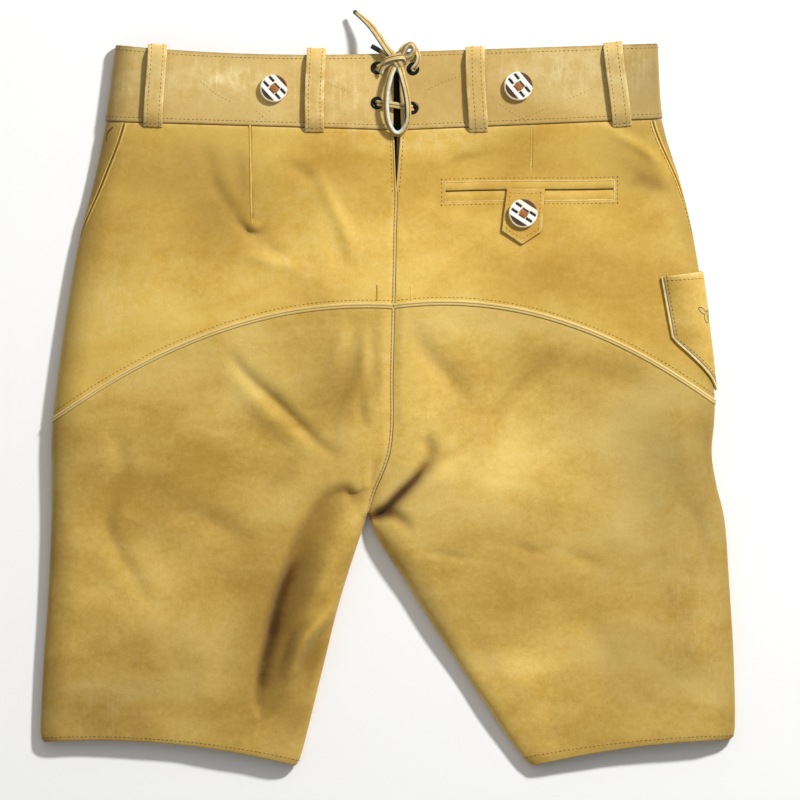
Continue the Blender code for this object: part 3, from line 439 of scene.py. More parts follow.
@dataclass(frozen=True)
class Half:
    """One half of the garment, as a surface with rows from waist to hem and a turn.

    The turn runs from the inner edge of the back, 3, over the outer edge, 0, to the inner edge
    of the front, -3. Facing is 1 where rows crossed with turns point out, else -1.
    """

    side: Side
    table: Array
    facing: float

    def ends(self, row: Array, front: Array) -> Line:
        """Gives the outer and the inner end of rows.

        Args:
            row: Row numbers.
            front: True where the front is meant.

        Returns:
            Two arrays of places.
        """
        table, both = self.table, (LEFT_ROWS + RIGHT_ROWS) / 2
        outer = np.stack([spline(table[:, k], row) for k in (OUT_X, OUT_Y)], -1)
        in_x, in_y = spline(table[:, IN_X], row), spline(table[:, IN_Y], row)
        straight = np.interp(row, np.arange(len(table)), table[:, IN_X])
        in_x = np.where(row < HIP_MID, straight, in_x)
        shared = (row >= HIP_MID) & (row < CROTCH)
        in_x = np.where(shared, spline(both[:, IN_X], row), in_x)
        in_x = np.where(front & (row < HIP_HIGH), CENTRE_X, in_x)
        in_y = np.where(shared, spline(both[:, IN_Y], row), in_y)
        return outer, np.stack((in_x, in_y), -1)

    def place(self, row: Number, turn: Number, wall: Wall = PLAIN, uneven: bool = True) -> Array:
        """Gives the middle of the wall.

        Args:
            row: Row numbers.
            turn: Turns.
            wall: The wall.
            uneven: Adds the creases and waves of the back.

        Returns:
            Points in millimetres.
        """
        row, turn = np.broadcast_arrays(np.asarray(row, float), np.asarray(turn, float))
        front, around = turn < 0, np.abs(turn)
        outer, inner = self.ends(row, front)
        chord = inner - outer
        whole = np.linalg.norm(chord, axis=-1)
        end = np.radians(90.0 * np.clip(spline(INNER_TURN, row), 1e-3, 1.0))
        width = whole - SEAM_TURNED * np.sin(end)
        roll = np.where(front, LOWER_ROLL, spline(ROLL, row))
        quarter = np.radians(90.0 * np.minimum(around, 1.0))
        angle = (np.clip(around, 2.0, 3.0) - 2.0) * end
        zones = around <= 1.0, around <= 2.0
        along = np.select(
            zones, (roll * (1.0 - np.cos(quarter)), roll + (around - 1.0) * (width - 2.0 * roll)),
            width - roll + roll * np.sin(angle) / np.sin(end),
        )
        rise = np.select(zones, (np.sin(quarter), 1.0), np.cos(angle))
        share = along / whole
        plan = outer + chord * share[..., None]
        x = plan[..., 0]
        y = plan[..., 1] + spline(self.table[:, BOW], row) * 4.0 * share * (1.0 - share)
        relief = 0.0
        if uneven and np.any(turn > 0.4):
            gentle = 0.25 + 0.75 * ease((row - 0.9) / 0.6) + 0.25 * ease((row - 5.0) / 1.0)
            creases = sum(crease.rise * crease.strength(x, y) for crease in CREASES)
            flat = ease((turn - 0.4) / 0.6) * ease((2.96 - turn) / 0.3)
            relief = (creases + Waves().at(x, y) * gentle) * flat
        level = np.where(front, wall.sheet / 2 + wall.lift(x, y), spline(CROWN, row) + relief)
        return np.stack((x, y, EDGE_HEIGHT + rise * (level - EDGE_HEIGHT)), -1)

    def skin(self, row: Number, turn: Number, off: Number = 0.0, wall: Wall = PLAIN) -> Line:
        """Gives points off the middle of the wall, and the outward normals there.

        Args:
            row: Row numbers.
            turn: Turns.
            off: Distance from the middle of the wall.
            wall: The wall.

        Returns:
            Points and normals.
        """
        row, turn = np.broadcast_arrays(np.asarray(row, float), np.asarray(turn, float))
        rows = [np.clip(row + step, 0, LAST_ROW) for step in (-PROBE, PROBE)]
        turns = [np.clip(turn + step, -3, 3) for step in (-PROBE, PROBE)]
        down = self.place(rows[1], turn, wall) - self.place(rows[0], turn, wall)
        over = self.place(row, turns[1], wall) - self.place(row, turns[0], wall)
        normal = unit(np.cross(down, over)) * self.facing
        return self.place(row, turn, wall) + normal * np.asarray(off)[..., None], normal

    def seam_turn(self, row: Array) -> Array:
        """Gives the turn of the side seam at rows."""
        share = np.clip(spline(self.table[:, WRAP], row) / spline(ROLL, row), 0.0, 0.99)
        return np.degrees(np.arccos(1.0 - share)) / 90.0

    def rows_between(self, first: float, last: float, step: float) -> Array:
        """Gives evenly spaced rows with fine ones beside both ends.

        Args:
            first: First row.
            last: Last row.
            step: Spacing in millimetres.

        Returns:
            Row numbers.
        """
        dense = np.linspace(first, last, 400)
        run = arc(self.place(dense, 1.6, uneven=False))
        return np.interp(even_with_edges(run[-1], step) * run[-1], run, dense)

    def turns_between(self, rows: Array, first: Number, last: Number, step: float) -> Array:
        """Gives turns that are evenly spaced along each row, with fine ones at both ends.

        Args:
            rows: Row numbers.
            first: First turn, one or one to a row.
            last: Last turn.
            step: Spacing in millimetres on the longest row.

        Returns:
            Turns, one line to a row.
        """
        first = np.broadcast_to(first, rows.shape)[:, None]
        dense = first + (last - first) * np.linspace(0, 1, 500)
        places = self.place(rows[:, None], dense, uneven=False)
        run = np.stack([arc(line) for line in places])
        shares = even_with_edges(float(run[:, -1].max()), step)
        return np.stack([np.interp(shares * r[-1], r, turns) for r, turns in zip(run, dense)])

    def row_at(self, y: Array, girth: Array) -> Array:
        """Finds the rows whose points at a girth lie at heights up the garment.

        Args:
            y: Heights.
            girth: Distances from the outer edge.

        Returns:
            Row numbers.
        """
        low, high = np.full(np.shape(y), float(WAIST_SEAM)), np.full(np.shape(y), float(CROTCH))
        for _ in range(26):
            middle = (low + high) / 2
            turn = self.turn_at_girth(middle, girth)
            above = self.place(middle, turn, uneven=False)[..., 1] > y
            low, high = np.where(above, middle, low), np.where(above, high, middle)
        return (low + high) / 2

    def turn_at_girth(self, row: Array, girth: Array) -> Array:
        """Gives the turn at a distance from the outer edge, which is below 0 on the front.

        Args:
            row: Row numbers.
            girth: Distances.

        Returns:
            Turns.
        """
        front = girth < 0
        roll = np.where(front, LOWER_ROLL, spline(ROLL, row))
        height = np.where(front, EDGE_HEIGHT - HIDE, spline(CROWN, row) - EDGE_HEIGHT)
        side = math.pi / 2 * np.sqrt((roll ** 2 + height ** 2) / 2)
        outer, inner = self.ends(row, front)
        flat = np.linalg.norm(inner - outer, axis=-1) - 2 * roll
        past = 1.0 + (np.abs(girth) - side) / flat
        return np.where(np.abs(girth) < side, girth / side, np.copysign(past, girth))


LEFT, RIGHT = Half(Side.LEFT, LEFT_ROWS, 1.0), Half(Side.RIGHT, RIGHT_ROWS, -1.0)
HALVES = (LEFT, RIGHT)


class Wiring:
    """A node tree that is built with short calls."""

    def __init__(self, tree: Any) -> None:
        """Keeps the tree that the nodes are added to."""
        self.tree = tree

    def feed(self, node: Any, feeds: dict[Any, Any]) -> Any:
        """Feeds a node's inputs.

        Args:
            node: The node.
            feeds: Sockets, colours or numbers, by the name or number of the input.

        Returns:
            The node.
        """
        for key, value in feeds.items():
            socket = node.inputs[key]
            if isinstance(value, bpy.types.NodeSocket):
                self.tree.links.new(value, socket)
            else:
                colour = socket.type == "RGBA" and len(value) == 3
                socket.default_value = (*value, 1.0) if colour else value
        return node

    def put(self, kind: str, feeds: dict[Any, Any], out: Any = 0, **settings: Any) -> Any:
        """Adds a node.

        Args:
            kind: Its type.
            feeds: What its inputs take.
            out: Name or number of the output.
            **settings: Its properties.

        Returns:
            The output's socket.
        """
        node = self.tree.nodes.new(kind)
        for name, value in settings.items():
            setattr(node, name, value)
        return self.feed(node, feeds).outputs[out]

    def maths(self, what: str, a: Any, b: Any = 0.0, clamp: bool = False) -> Any:
        """Works out one value from two."""
        return self.put("ShaderNodeMath", {0: a, 1: b}, operation=what, use_clamp=clamp)


class Nodes(Wiring):
    """A material's nodes."""

    def __init__(self, name: str) -> None:
        """Starts a material that reads object coordinates.

        Args:
            name: Name of the material.
        """
        self.material = bpy.data.materials.new(name)
        self.material.use_nodes = True
        super().__init__(self.material.node_tree)
        self.place = self.put("ShaderNodeTexCoord", {}, "Object")

    def stretched(self, scale: Spot, turn: float = 0.0) -> Any:
        """Gives object coordinates scaled by three numbers and turned about the upright axis."""
        turned = {"Vector": self.place, "Rotation": (0.0, 0.0, math.radians(turn)), "Scale": scale}
        return self.put("ShaderNodeMapping", turned)

    def noise(
        self, scale: float, detail: float = 3.0, rough: float = 0.55, bend: float = 0.0,
        at: Any = None,
    ) -> Any:
        """Adds noise from 0 to 1, with so many lumps to a metre."""
        sizes = {"Scale": scale, "Detail": detail, "Roughness": rough, "Distortion": bend}
        return self.put("ShaderNodeTexNoise", {"Vector": at or self.place, **sizes}, "Fac")

    def between(self, value: Any, low: float, high: float, to: Place = (0.0, 1.0)) -> Any:
        """Maps the range from low to high smoothly to another."""
        ends = {"From Min": low, "From Max": high, "To Min": to[0], "To Max": to[1]}
        return self.put("ShaderNodeMapRange", {"Value": value, **ends},
                        interpolation_type="SMOOTHSTEP")

    def mix(self, share: Any, a: Any, b: Any, how: str = "MIX") -> Any:
        """Mixes two colours by the share of the second."""
        feeds = {"Factor": share, 6: a, 7: b}
        return self.put("ShaderNodeMix", feeds, 2, data_type="RGBA", blend_type=how)

    def toned(self, colour: Any, tone: Any) -> Any:
        """Makes a colour lighter or darker by a factor."""
        grey = self.put("ShaderNodeCombineColor", {0: tone, 1: tone, 2: tone})
        return self.mix(1.0, colour, grey, "MULTIPLY")

    def ramp(self, value: Any, *stops: tuple[float, Spot]) -> Any:
        """Reads a row of colours.

        Args:
            value: Where to read, from 0 to 1.
            *stops: Places and colours.

        Returns:
            The colour's socket.
        """
        out = self.put("ShaderNodeValToRGB", {"Fac": value})
        band = out.node.color_ramp.elements
        while len(band) < len(stops):
            band.new(0.5)
        for element, (at, colour) in zip(band, stops):
            element.position, element.color = at, (*colour, 1.0)
        return out

    def bump(self, height: Any, depth: float, strength: float, below: Any = None) -> Any:
        """Adds a bump of a depth in millimetres, over another where one is given."""
        feeds = {"Distance": depth * MM, "Strength": strength, "Height": height}
        return self.put("ShaderNodeBump", feeds | ({"Normal": below} if below else {}))

    def painted(self) -> Sequence[Any]:
        """Gives the three channels of the mesh's painted tone."""
        tone = self.put("ShaderNodeAttribute", {}, "Color", attribute_name="tone")
        return self.put("ShaderNodeSeparateColor", {0: tone}).node.outputs[:3]

    def finish(self, colour: Any, rough: Any, **more: Any) -> Any:
        """Feeds the shader.

        Args:
            colour: Base colour.
            rough: Roughness.
            **more: Other inputs, with underscores for spaces.

        Returns:
            The material.
        """
        feeds = {"Base Color": colour, "Roughness": rough} | {
            name.replace("_", " "): value for name, value in more.items()}
        self.feed(self.tree.nodes["Principled BSDF"], feeds)
        return self.material


@dataclass(frozen=True)
class Leather:
    """A leather finish: its clouds, brown stains and rubbed places, its nap and its sheen."""

    name: str
    deep: Spot
    body: Spot
    light: Spot
    stain: Spot
    rubbed: Spot
    rough: float
    nap: float
    mottle: float
    sheen: float
    gloss: float

    def make(self) -> Any:
        """Builds the material.

        Returns:
            The material.
        """
        kit = Nodes(self.name)
        clouds = kit.noise(10.0, 4.0, 0.52, 0.5, kit.stretched((0.8, 1.25, 1.0)))
        blots = kit.noise(34.0, 5.0, 0.58, 0.4, kit.stretched((0.7, 1.4, 1.0)))
        flecks = kit.noise(240.0, 4.0, 0.6)
        nap = kit.noise(1500.0, 3.0, 0.6)
        fibres = kit.noise(620.0, 3.0, 0.7, 0.0, kit.stretched((1.0, 0.35, 1.0), 28.0))
        scrape = kit.noise(300.0, 3.0, 0.7, 0.0, kit.stretched((1.0, 0.12, 1.0), -8.0))
        share = kit.maths("MULTIPLY", clouds, 0.6)
        for part, weight in ((blots, 0.24), (flecks, 0.16)):
            share = kit.maths("ADD", share, kit.maths("MULTIPLY", part, weight))
        share = kit.between(share, 0.5 - 0.2 / self.mottle, 0.5 + 0.2 / self.mottle)
        colour = kit.ramp(share, (0.0, self.deep), (0.5, self.body), (1.0, self.light))
        lighter, brown, rubbed = kit.painted()
        brown = kit.maths("MULTIPLY", brown, kit.between(blots, 0.25, 0.62, (0.55, 1.25)), True)
        colour = kit.mix(brown, colour, self.stain)
        worn = kit.maths("ADD", kit.between(scrape, 0.52, 0.68),
                         kit.between(kit.noise(90.0, 4.0, 0.65), 0.4, 0.62))
        colour = kit.mix(kit.maths("MULTIPLY", rubbed, worn, True), colour, self.rubbed)
        nearly = kit.between(nap, 0.2, 0.8, (0.88, 1.12))
        tone = kit.maths("MULTIPLY", kit.maths("MULTIPLY", lighter, 2.0), nearly)
        normal = kit.bump(flecks, self.nap * 2.2, 0.55)
        normal = kit.bump(fibres, self.nap * 1.2, 0.6, normal)
        return kit.finish(
            kit.toned(colour, tone),
            kit.between(blots, 0.3, 0.7, (self.rough + 0.05, self.rough - 0.06)),
            Normal=kit.bump(nap, self.nap, 0.8, normal), Sheen_Weight=self.sheen,
            Sheen_Roughness=0.45, Sheen_Tint=(1.0, 0.9, 0.68), Specular_IOR_Level=self.gloss,
        )


@dataclass(frozen=True)
class Thong:
    """The lace: a folded thong with a seam down its tan face and a pale, cool flesh side."""

    name: str = "lace_thong"
    tan: Spot = linear(204, 178, 112)
    seam: Spot = linear(112, 74, 32)
    cream: Spot = linear(234, 220, 174)
    edge: Spot = linear(158, 146, 112)
    flesh: Spot = linear(204, 216, 220)

    def make(self) -> Any:
        """Builds the material, whose colours run round the thong on its UV map.

        Returns:
            The material.
        """
        kit = Nodes(self.name)
        cut = kit.put("ShaderNodeUVMap", {}, uv_map="cut")
        around = kit.put("ShaderNodeSeparateXYZ", {0: cut})
        colour = kit.ramp(
            around, (0.0, self.flesh), (0.15, self.flesh), (0.18, self.edge), (0.29, self.edge),
            (0.32, self.cream), (0.38, self.tan), (0.478, self.tan), (0.492, self.seam),
            (0.508, self.seam), (0.522, self.tan), (0.62, self.tan), (0.68, self.cream),
            (0.70, self.flesh), (0.84, self.flesh), (0.86, self.flesh), (1.0, self.flesh),
        )
        lighter, tip, cool = kit.painted()
        # Painted shade: a dark blue band on the flesh side, as strong as the third painted channel.
        beside = kit.maths("ABSOLUTE", kit.maths("SUBTRACT", around, 0.77))
        inner = kit.maths("MULTIPLY", kit.between(beside, 0.05, 0.08, (1.0, 0.0)), cool)
        colour = kit.mix(inner, colour, linear(36, 70, 92))
        colour = kit.mix(tip, colour, linear(46, 66, 78))
        blots = kit.noise(210.0, 4.0, 0.65)
        tone = kit.between(blots, 0.25, 0.75, (0.78, 1.16))
        tone = kit.maths("MULTIPLY", tone, kit.maths("MULTIPLY", lighter, 2.0))
        normal = kit.bump(kit.noise(1700.0, 3.0, 0.6), 0.08, 0.7, kit.bump(blots, 0.25, 0.5))
        return kit.finish(kit.toned(colour, tone), kit.between(blots, 0.3, 0.7, (0.66, 0.54)),
                          Normal=normal, Specular_IOR_Level=0.35)


@dataclass(frozen=True)
class Horn:
    """Carved horn: bone-white bars, black grooves and brown ground."""

    name: str = "carved_horn"

    def make(self) -> Any:
        """Builds the material, whose ground and grooves are painted on the mesh.

        Returns:
            The material.
        """
        kit = Nodes(self.name)
        black, brown, cream = kit.painted()
        streaks = kit.noise(900.0, 4.0, 0.65, 0.8, kit.stretched((0.35, 1.0, 1.0), 45.0))
        cloud = kit.noise(330.0, 3.0, 0.6)
        ivory = kit.ramp(streaks, (0.0, linear(222, 208, 178)), (0.5, linear(246, 240, 226)),
                         (1.0, linear(255, 252, 244)))
        wood = kit.ramp(streaks, (0.2, linear(112, 58, 14)), (0.55, linear(180, 108, 38)),
                        (0.85, linear(202, 140, 62)))
        bark = kit.ramp(cloud, (0.3, linear(56, 34, 16)), (0.7, linear(122, 92, 48)))
        colour = kit.mix(brown, ivory, kit.mix(0.25, wood, bark))
        colour = kit.mix(cream, colour, linear(226, 200, 150))
        colour = kit.mix(black, colour, linear(16, 10, 6))
        rough = kit.maths("ADD", kit.between(streaks, 0.3, 0.7, (0.3, 0.42)),
                          kit.maths("MULTIPLY", brown, 0.2))
        return kit.finish(colour, rough, Normal=kit.bump(streaks, 0.12, 0.6),
                          Specular_IOR_Level=0.5)


@dataclass(frozen=True)
class Grained:
    """A plain finish of one noise: thread, blackened metal or the floor."""

    name: str
    lumps: tuple[float, ...]
    stops: tuple[tuple[float, Spot], ...]
    rough: Union[float, Place]
    depth: float = 0.0
    bumped: float = 0.6
    gloss: float = 0.5
    metal: float = 0.0

    def make(self) -> Any:
        """Builds the material.

        Returns:
            The material.
        """
        kit = Nodes(self.name)
        grain = kit.noise(*self.lumps)
        rough = self.rough
        if isinstance(rough, tuple):
            rough = kit.between(grain, 0.3, 0.7, rough)
        raised = {"Normal": kit.bump(grain, self.depth, self.bumped)} if self.depth else {}
        return kit.finish(kit.ramp(grain, *self.stops), rough, **raised,
                          Specular_IOR_Level=self.gloss, Metallic=self.metal)


FINISHES = (
    Leather("tan_suede", linear(168, 131, 52), linear(196, 162, 80), linear(212, 184, 106),
            linear(132, 88, 26), linear(208, 184, 122), 0.88, 0.10, 1.0, 0.25, 0.2),
    Leather("golden_leather", linear(184, 142, 50), linear(205, 167, 74), linear(218, 186, 96),
            linear(152, 108, 28), linear(224, 200, 134), 0.72, 0.05, 1.05, 0.12, 0.32),
    Leather("band_leather", linear(182, 148, 78), linear(200, 168, 96), linear(214, 186, 118),
            linear(160, 122, 56), linear(228, 208, 150), 0.74, 0.06, 0.8, 0.12, 0.3),
    Leather("pale_edge", linear(196, 162, 86), linear(216, 186, 112), linear(230, 204, 136),
            linear(170, 130, 60), linear(240, 222, 170), 0.66, 0.04, 0.7, 0.1, 0.35),
    Leather("flesh_side", linear(128, 100, 58), linear(158, 128, 80), linear(182, 152, 104),
            linear(110, 80, 40), linear(190, 168, 124), 0.92, 0.12, 1.0, 0.3, 0.15),
    Leather("cut_edge", linear(150, 146, 134), linear(186, 178, 158), linear(212, 204, 182),
            linear(96, 100, 104), linear(220, 214, 200), 0.8, 0.06, 1.0, 0.1, 0.25),
    Thong(), Horn(),
    Grained("brown_thread", (2600.0, 2.0, 0.6),
            ((0.35, linear(62, 38, 14)), (0.7, linear(112, 78, 38))), 0.6, 0.08, 0.6, 0.2),
    Grained("grey_thread", (2600.0, 2.0, 0.6),
            ((0.35, linear(66, 74, 62)), (0.7, linear(110, 118, 100))), 0.6, 0.08, 0.6, 0.2),
    Grained("blackened_eyelet", (700.0, 4.0, 0.7),
            ((0.35, (0.012, 0.012, 0.014)), (0.6, (0.03, 0.03, 0.032)),
             (0.75, (0.16, 0.15, 0.14))), (0.42, 0.26), 0.05, 0.5, metal=0.85),
    Grained("pale_floor", (3.0, 2.0), ((0.0, (0.9, 0.9, 0.895)), (1.0, (0.93, 0.93, 0.925))),
            0.9, gloss=0.1),
)


def mesh_object(
    name: str, points: Array, faces: Any, finishes: Sequence[Any],
    which: Optional[Array] = None, cut: Optional[Array] = None, tone: Any = PLAIN_TONE,
) -> Any:
    """Makes a smooth mesh object.

    Args:
        name: Name of the piece.
        points: Points in millimetres.
        faces: Point numbers of each face.
        finishes: Materials.
        which: Material number of each face.
        cut: UV place of each face corner.
        tone: Painted colour, one or one to a point.

    Returns:
        The object.
    """
    mesh = bpy.data.meshes.new(name)
    mesh.from_pydata((np.asarray(points) * MM).tolist(), [], [list(face) for face in faces])
    for finish in finishes:
        mesh.materials.append(finish)
    if which is not None:
        mesh.polygons.foreach_set("material_index", np.asarray(which, np.int32))
    mesh.polygons.foreach_set("use_smooth", np.ones(len(mesh.polygons), bool))
    if cut is not None:
        mesh.uv_layers.new(name="cut").data.foreach_set("uv", np.asarray(cut, np.float32).ravel())
    colours = np.ones((len(points), 4), np.float32)
    colours[:, :3] = np.clip(tone, 0.0, 1.0)
    layer = mesh.color_attributes.new("tone", "FLOAT_COLOR", "POINT")
    layer.data.foreach_set("color", colours.ravel())
    mesh.update()
    obj = bpy.data.objects.new(name, mesh)
    bpy.context.scene.collection.objects.link(obj)
    return obj


def grid_quads(rows: int, columns: int, start: int, flip: bool) -> Array:
    """Gives the faces of a grid of points whose first has a number, turned over by flip."""
    a = start + np.arange(rows - 1)[:, None] * columns + np.arange(columns - 1)
    return np.stack((a, a + columns, a + columns + 1, a + 1), -1).reshape(-1, 4)[
        :, ::-1 if flip else 1]


def runs(middles: Array) -> Line:
    """Gives how far each point of a grid lies along its row, and down its column."""
    return (np.stack([arc(row) for row in middles]),
            np.stack([arc(column) for column in middles.swapaxes(0, 1)], 1))


def border_distance(middles: Array) -> Line:
    """Gives how far each point of a grid lies from its sides, and from its top and foot."""
    over, down = runs(middles)
    return np.minimum(over, over[:, -1:] - over), np.minimum(down, down[-1:] - down)


def rounding(distance: Array, radius: float) -> Array:
    """Gives the share of the thickness beside a rounded edge."""
    inside = 1.0 - np.clip(distance / radius, 0.0, 1.0)
    return 0.1 + 0.9 * np.sqrt(1.0 - inside ** 2)


def grid_normals(middles: Array, like: Any = UP) -> Array:
    """Gives the normals of a grid.

    Args:
        middles: Grid of points.
        like: Direction that the middle one agrees with.

    Returns:
        Normals of length 1.
    """
    normals = unit(np.cross(np.gradient(middles, axis=0), np.gradient(middles, axis=1)))
    centre = normals[middles.shape[0] // 2, middles.shape[1] // 2]
    return normals if float(np.dot(centre, like)) >= 0 else -normals


def shell(
    name: str, middles: Array, normals: Array, thick: float, finishes: Sequence[Any],
    tone: Array, edge: float = 1.1, inward: Optional[Number] = None,
    inside: Optional[Array] = None,
) -> Any:
    """Makes a closed sheet of leather with rounded edges.

    Args:
        name: Name of the piece.
        middles: Grid of middle points.
        normals: Outward normals.
        thick: Thickness.
        finishes: Materials of the face, the inside and the edge.
        tone: Painted colour of each grid point.
        edge: Radius of the edges.
        inward: Thickness inside the middle, half the thickness where none is given.
        inside: Painted colour of the inside, that of the face where none is given.

    Returns:
        The object.
    """
    rows, columns = middles.shape[:2]
    along, over = border_distance(middles)
    share = rounding(along, edge) * rounding(over, edge)
    points = np.concatenate([
        (middles + normals * (share * reach)[..., None]).reshape(-1, 3)
        for reach in (thick / 2.0, -(thick / 2.0 if inward is None else inward))
    ])
    count, i, j = rows * columns, rows // 2, columns // 2
    down, side = middles[i + 1, j] - middles[i, j], middles[i, j + 1] - middles[i, j]
    flip = float(np.dot(np.cross(down, side), normals[i, j])) < 0
    grid = np.arange(count).reshape(rows, columns)
    rim = np.concatenate((grid[0], grid[1:, -1], grid[-1, -2::-1], grid[-2:0:-1, 0]))
    following = np.roll(rim, -1)
    wall = np.stack((rim, following, following + count, rim + count), -1)
    faces = np.concatenate((
        grid_quads(rows, columns, 0, flip), grid_quads(rows, columns, count, not flip),
        wall[:, ::-1] if flip else wall,
    ))
    quads = (rows - 1) * (columns - 1)
    cut = np.tile(np.stack(runs(middles), -1).reshape(-1, 2) * MM, (2, 1))[faces.ravel()]
    tone = np.concatenate([t.reshape(-1, 3) for t in (tone, tone if inside is None else inside)])
    which = np.repeat((0, 1, 2), (quads, quads, len(wall)))
    return mesh_object(name, points, faces, finishes, which, cut, tone)


def ribbon(
    name: str, line: Array, normals: Any, wide: Number, thick: Number, finish: Any,
    power: float = 2.0, sides: int = 12, tone: Any = PLAIN_TONE,
) -> Any:
    """Makes a closed strip along a line.

    Args:
        name: Name of the piece.
        line: Points that it follows.
        normals: Direction in which its face looks, one or one to a point.
        wide: Width, one or one to a point.
        thick: Thickness, one or one to a point.
        finish: Material.
        power: 2 for an oval section, more for a flat one.
        sides: Points round a section.
        tone: Painted colour, one or one to a point.

    Returns:
        The object.
    """
    count = len(line)
    tangents = unit(np.gradient(line, axis=0))
    over = unit(np.cross(tangents, np.broadcast_to(normals, line.shape)))
    normals = np.cross(over, tangents)
    wide, thick = (np.broadcast_to(np.asarray(size, float), count) for size in (wide, thick))
    angles = np.linspace(-math.pi / 2, 1.5 * math.pi, sides, endpoint=False)
    across, through = (
        np.sign(wave) * np.abs(wave) ** (2.0 / power) for wave in (np.cos(angles), np.sin(angles)))
    ends = ((1.0, 0.12), (0.85, 0.5), (0.5, 0.86))
    stations = [(0, -push, size) for push, size in ends] + [(k, 0.0, 1.0) for k in range(count)]
    stations += [(count - 1, push, size) for push, size in ends[::-1]]
    k, push, size = (np.array(column) for column in zip(*stations))
    push = push * thick[k] / 2
    flat = (wide[k] / 2 * (0.35 + 0.65 * size))[:, None] * across
    deep = (thick[k] / 2 * size)[:, None] * through
    points = ((line[k] + tangents[k] * push[:, None])[:, None]
              + over[k][:, None] * flat[..., None] + normals[k][:, None] * deep[..., None])
    i, j = np.mgrid[:len(k) - 1, :sides]
    a, b = i * sides + j, i * sides + (j + 1) % sides
    last = (len(k) - 1) * sides
    faces = np.stack((a, b, b + sides, a + sides), -1).reshape(-1, 4).tolist()
    faces += [range(sides - 1, -1, -1), range(last, last + sides)]
    run = (arc(line)[k] + push) * MM
    cut = np.stack((np.stack((j, j + 1, j + 1, j), -1) / sides,
                    run[np.stack((i, i, i + 1, i + 1), -1)]), -1).reshape(-1, 2)
    caps = [np.tile((0.5, end), (sides, 1)) for end in (run[0], run[-1])]
    tone = np.repeat(np.broadcast_to(tone, (count, 3))[k], sides, axis=0)
    return mesh_object(name, points.reshape(-1, 3), faces, [finish], None,
                       np.concatenate((cut, *caps)), tone)


def lathe(
    name: str, profile: Sequence[Place], at: Spot, finish: Any, segments: int = 64,
    closed: bool = False, carve: Optional[Callable[..., Line]] = None,
) -> Any:
    """Makes a turned piece.

    Args:
        name: Name of the piece.
        profile: Radius and height of each ring, from the bottom to the top.
        at: Middle of its foot.
        finish: Material.
        segments: Points round it.
        closed: Joins the last ring to the first.
        carve: Takes places and heights, and gives carved heights and painted colours.

    Returns:
        The object.
    """
    profile = np.asarray(profile, float)
    turns = np.linspace(0, 2 * math.pi, segments, endpoint=False)
    x, y = profile[:, :1] * np.cos(turns), profile[:, :1] * np.sin(turns)
    z, tone = np.repeat(profile[:, 1:], segments, axis=1), np.zeros(3)
    if carve is not None:
        z, tone = carve(x, y, z)
        tone = tone.reshape(-1, 3)
    points = np.stack((x, y, z), -1).reshape(-1, 3) + np.asarray(at)
    i, j = np.mgrid[:len(profile) - (not closed), :segments]
    a, b, k = i * segments, (i + 1) % len(profile) * segments, (j + 1) % segments
    faces = np.stack((a + j, a + k, b + k, b + j), -1).reshape(-1, 4)
    obj = mesh_object(name, points, faces, [finish], tone=tone)
    mesh = bmesh.new()
    mesh.from_mesh(obj.data)
    bmesh.ops.remove_doubles(mesh, verts=mesh.verts, dist=1e-7)
    bmesh.ops.recalc_face_normals(mesh, faces=mesh.faces)
    mesh.to_mesh(obj.data)
    mesh.free()
    return obj


def settle(obj: Any) -> None:
    """Makes what an object's modifiers give its plain mesh.

    Args:
        obj: The object.
    """
    graph = bpy.context.evaluated_depsgraph_get()
    graph.update()
    mesh = bpy.data.meshes.new_from_object(obj.evaluated_get(graph))
    obj.modifiers.clear()
    obj.data = mesh
    mesh.name = obj.name


def cut_out(obj: Any, outline: Sequence[Place], low: float, high: float) -> None:
    """Cuts an upright prism out of a piece.

    Args:
        obj: The piece.
        outline: Plan of the prism.
        low: Its foot.
        high: Its top.
    """
    count = len(outline)
    points = np.array([(x, y, z) for z in (low, high) for x, y in outline])
    faces = [range(count - 1, -1, -1), range(count, 2 * count)]
    faces += [(k, (k + 1) % count, count + (k + 1) % count, count + k) for k in range(count)]
    tool = mesh_object("cutting_tool", points, faces, [obj.data.materials[-1]])
    modifier = obj.modifiers.new("cut", "BOOLEAN")
    modifier.operation, modifier.solver, modifier.object = "DIFFERENCE", "EXACT", tool
    settle(obj)
    bpy.data.objects.remove(tool, do_unlink=True)


def joined(name: str, parts: Sequence[Any]) -> Any:
    """Makes one object of several.

    Args:
        name: Name of the new piece.
        parts: The objects, which are used up.

    Returns:
        The object.
    """
    with bpy.context.temp_override(
        active_object=parts[0], object=parts[0], selected_objects=list(parts),
        selected_editable_objects=list(parts),
    ):
        bpy.ops.object.join()
    parts[0].name = parts[0].data.name = name
    return parts[0]


def paint(
    places: Array, worn: float = 0.5, edges: Optional[Line] = None, back: Number = 1.0
) -> Array:
    """Paints patches, painted shade along creases and worn edges.

    Args:
        places: Points of the piece.
        worn: Wear along its edges.
        edges: Distances from its sides and ends, measured where none are given.
        back: How much each point lies on the back, where the patches are.

    Returns:
        Colours of the points.
    """
    x, y = places[..., 0], places[..., 1]
    lighter, brown, rubbed = np.zeros((3, *x.shape))
    if np.any(back):
        for patch in PATCHES:
            share = patch.strength(x, y) * back
            lighter += patch.lighter * share
            brown += patch.brown * share
            rubbed += patch.rubbed * share
        # Painted shade along the creases: darker and browner leather, lighter where the shade is
        # below 0.
        for crease in CREASES:
            if crease.shade:
                share = crease.strength(x, y) * back * crease.shade
                lighter -= 0.4 * share
                brown += 0.7 * share
    near = np.minimum(*(edges or border_distance(places)))
    rubbed += worn * bell(near / 1.6)
    lighter += 0.10 * worn * bell(near / 2.4)
    return np.stack((0.5 + lighter * 0.5, np.clip(brown, 0, 0.9), np.clip(rubbed, 0, 1)), -1)


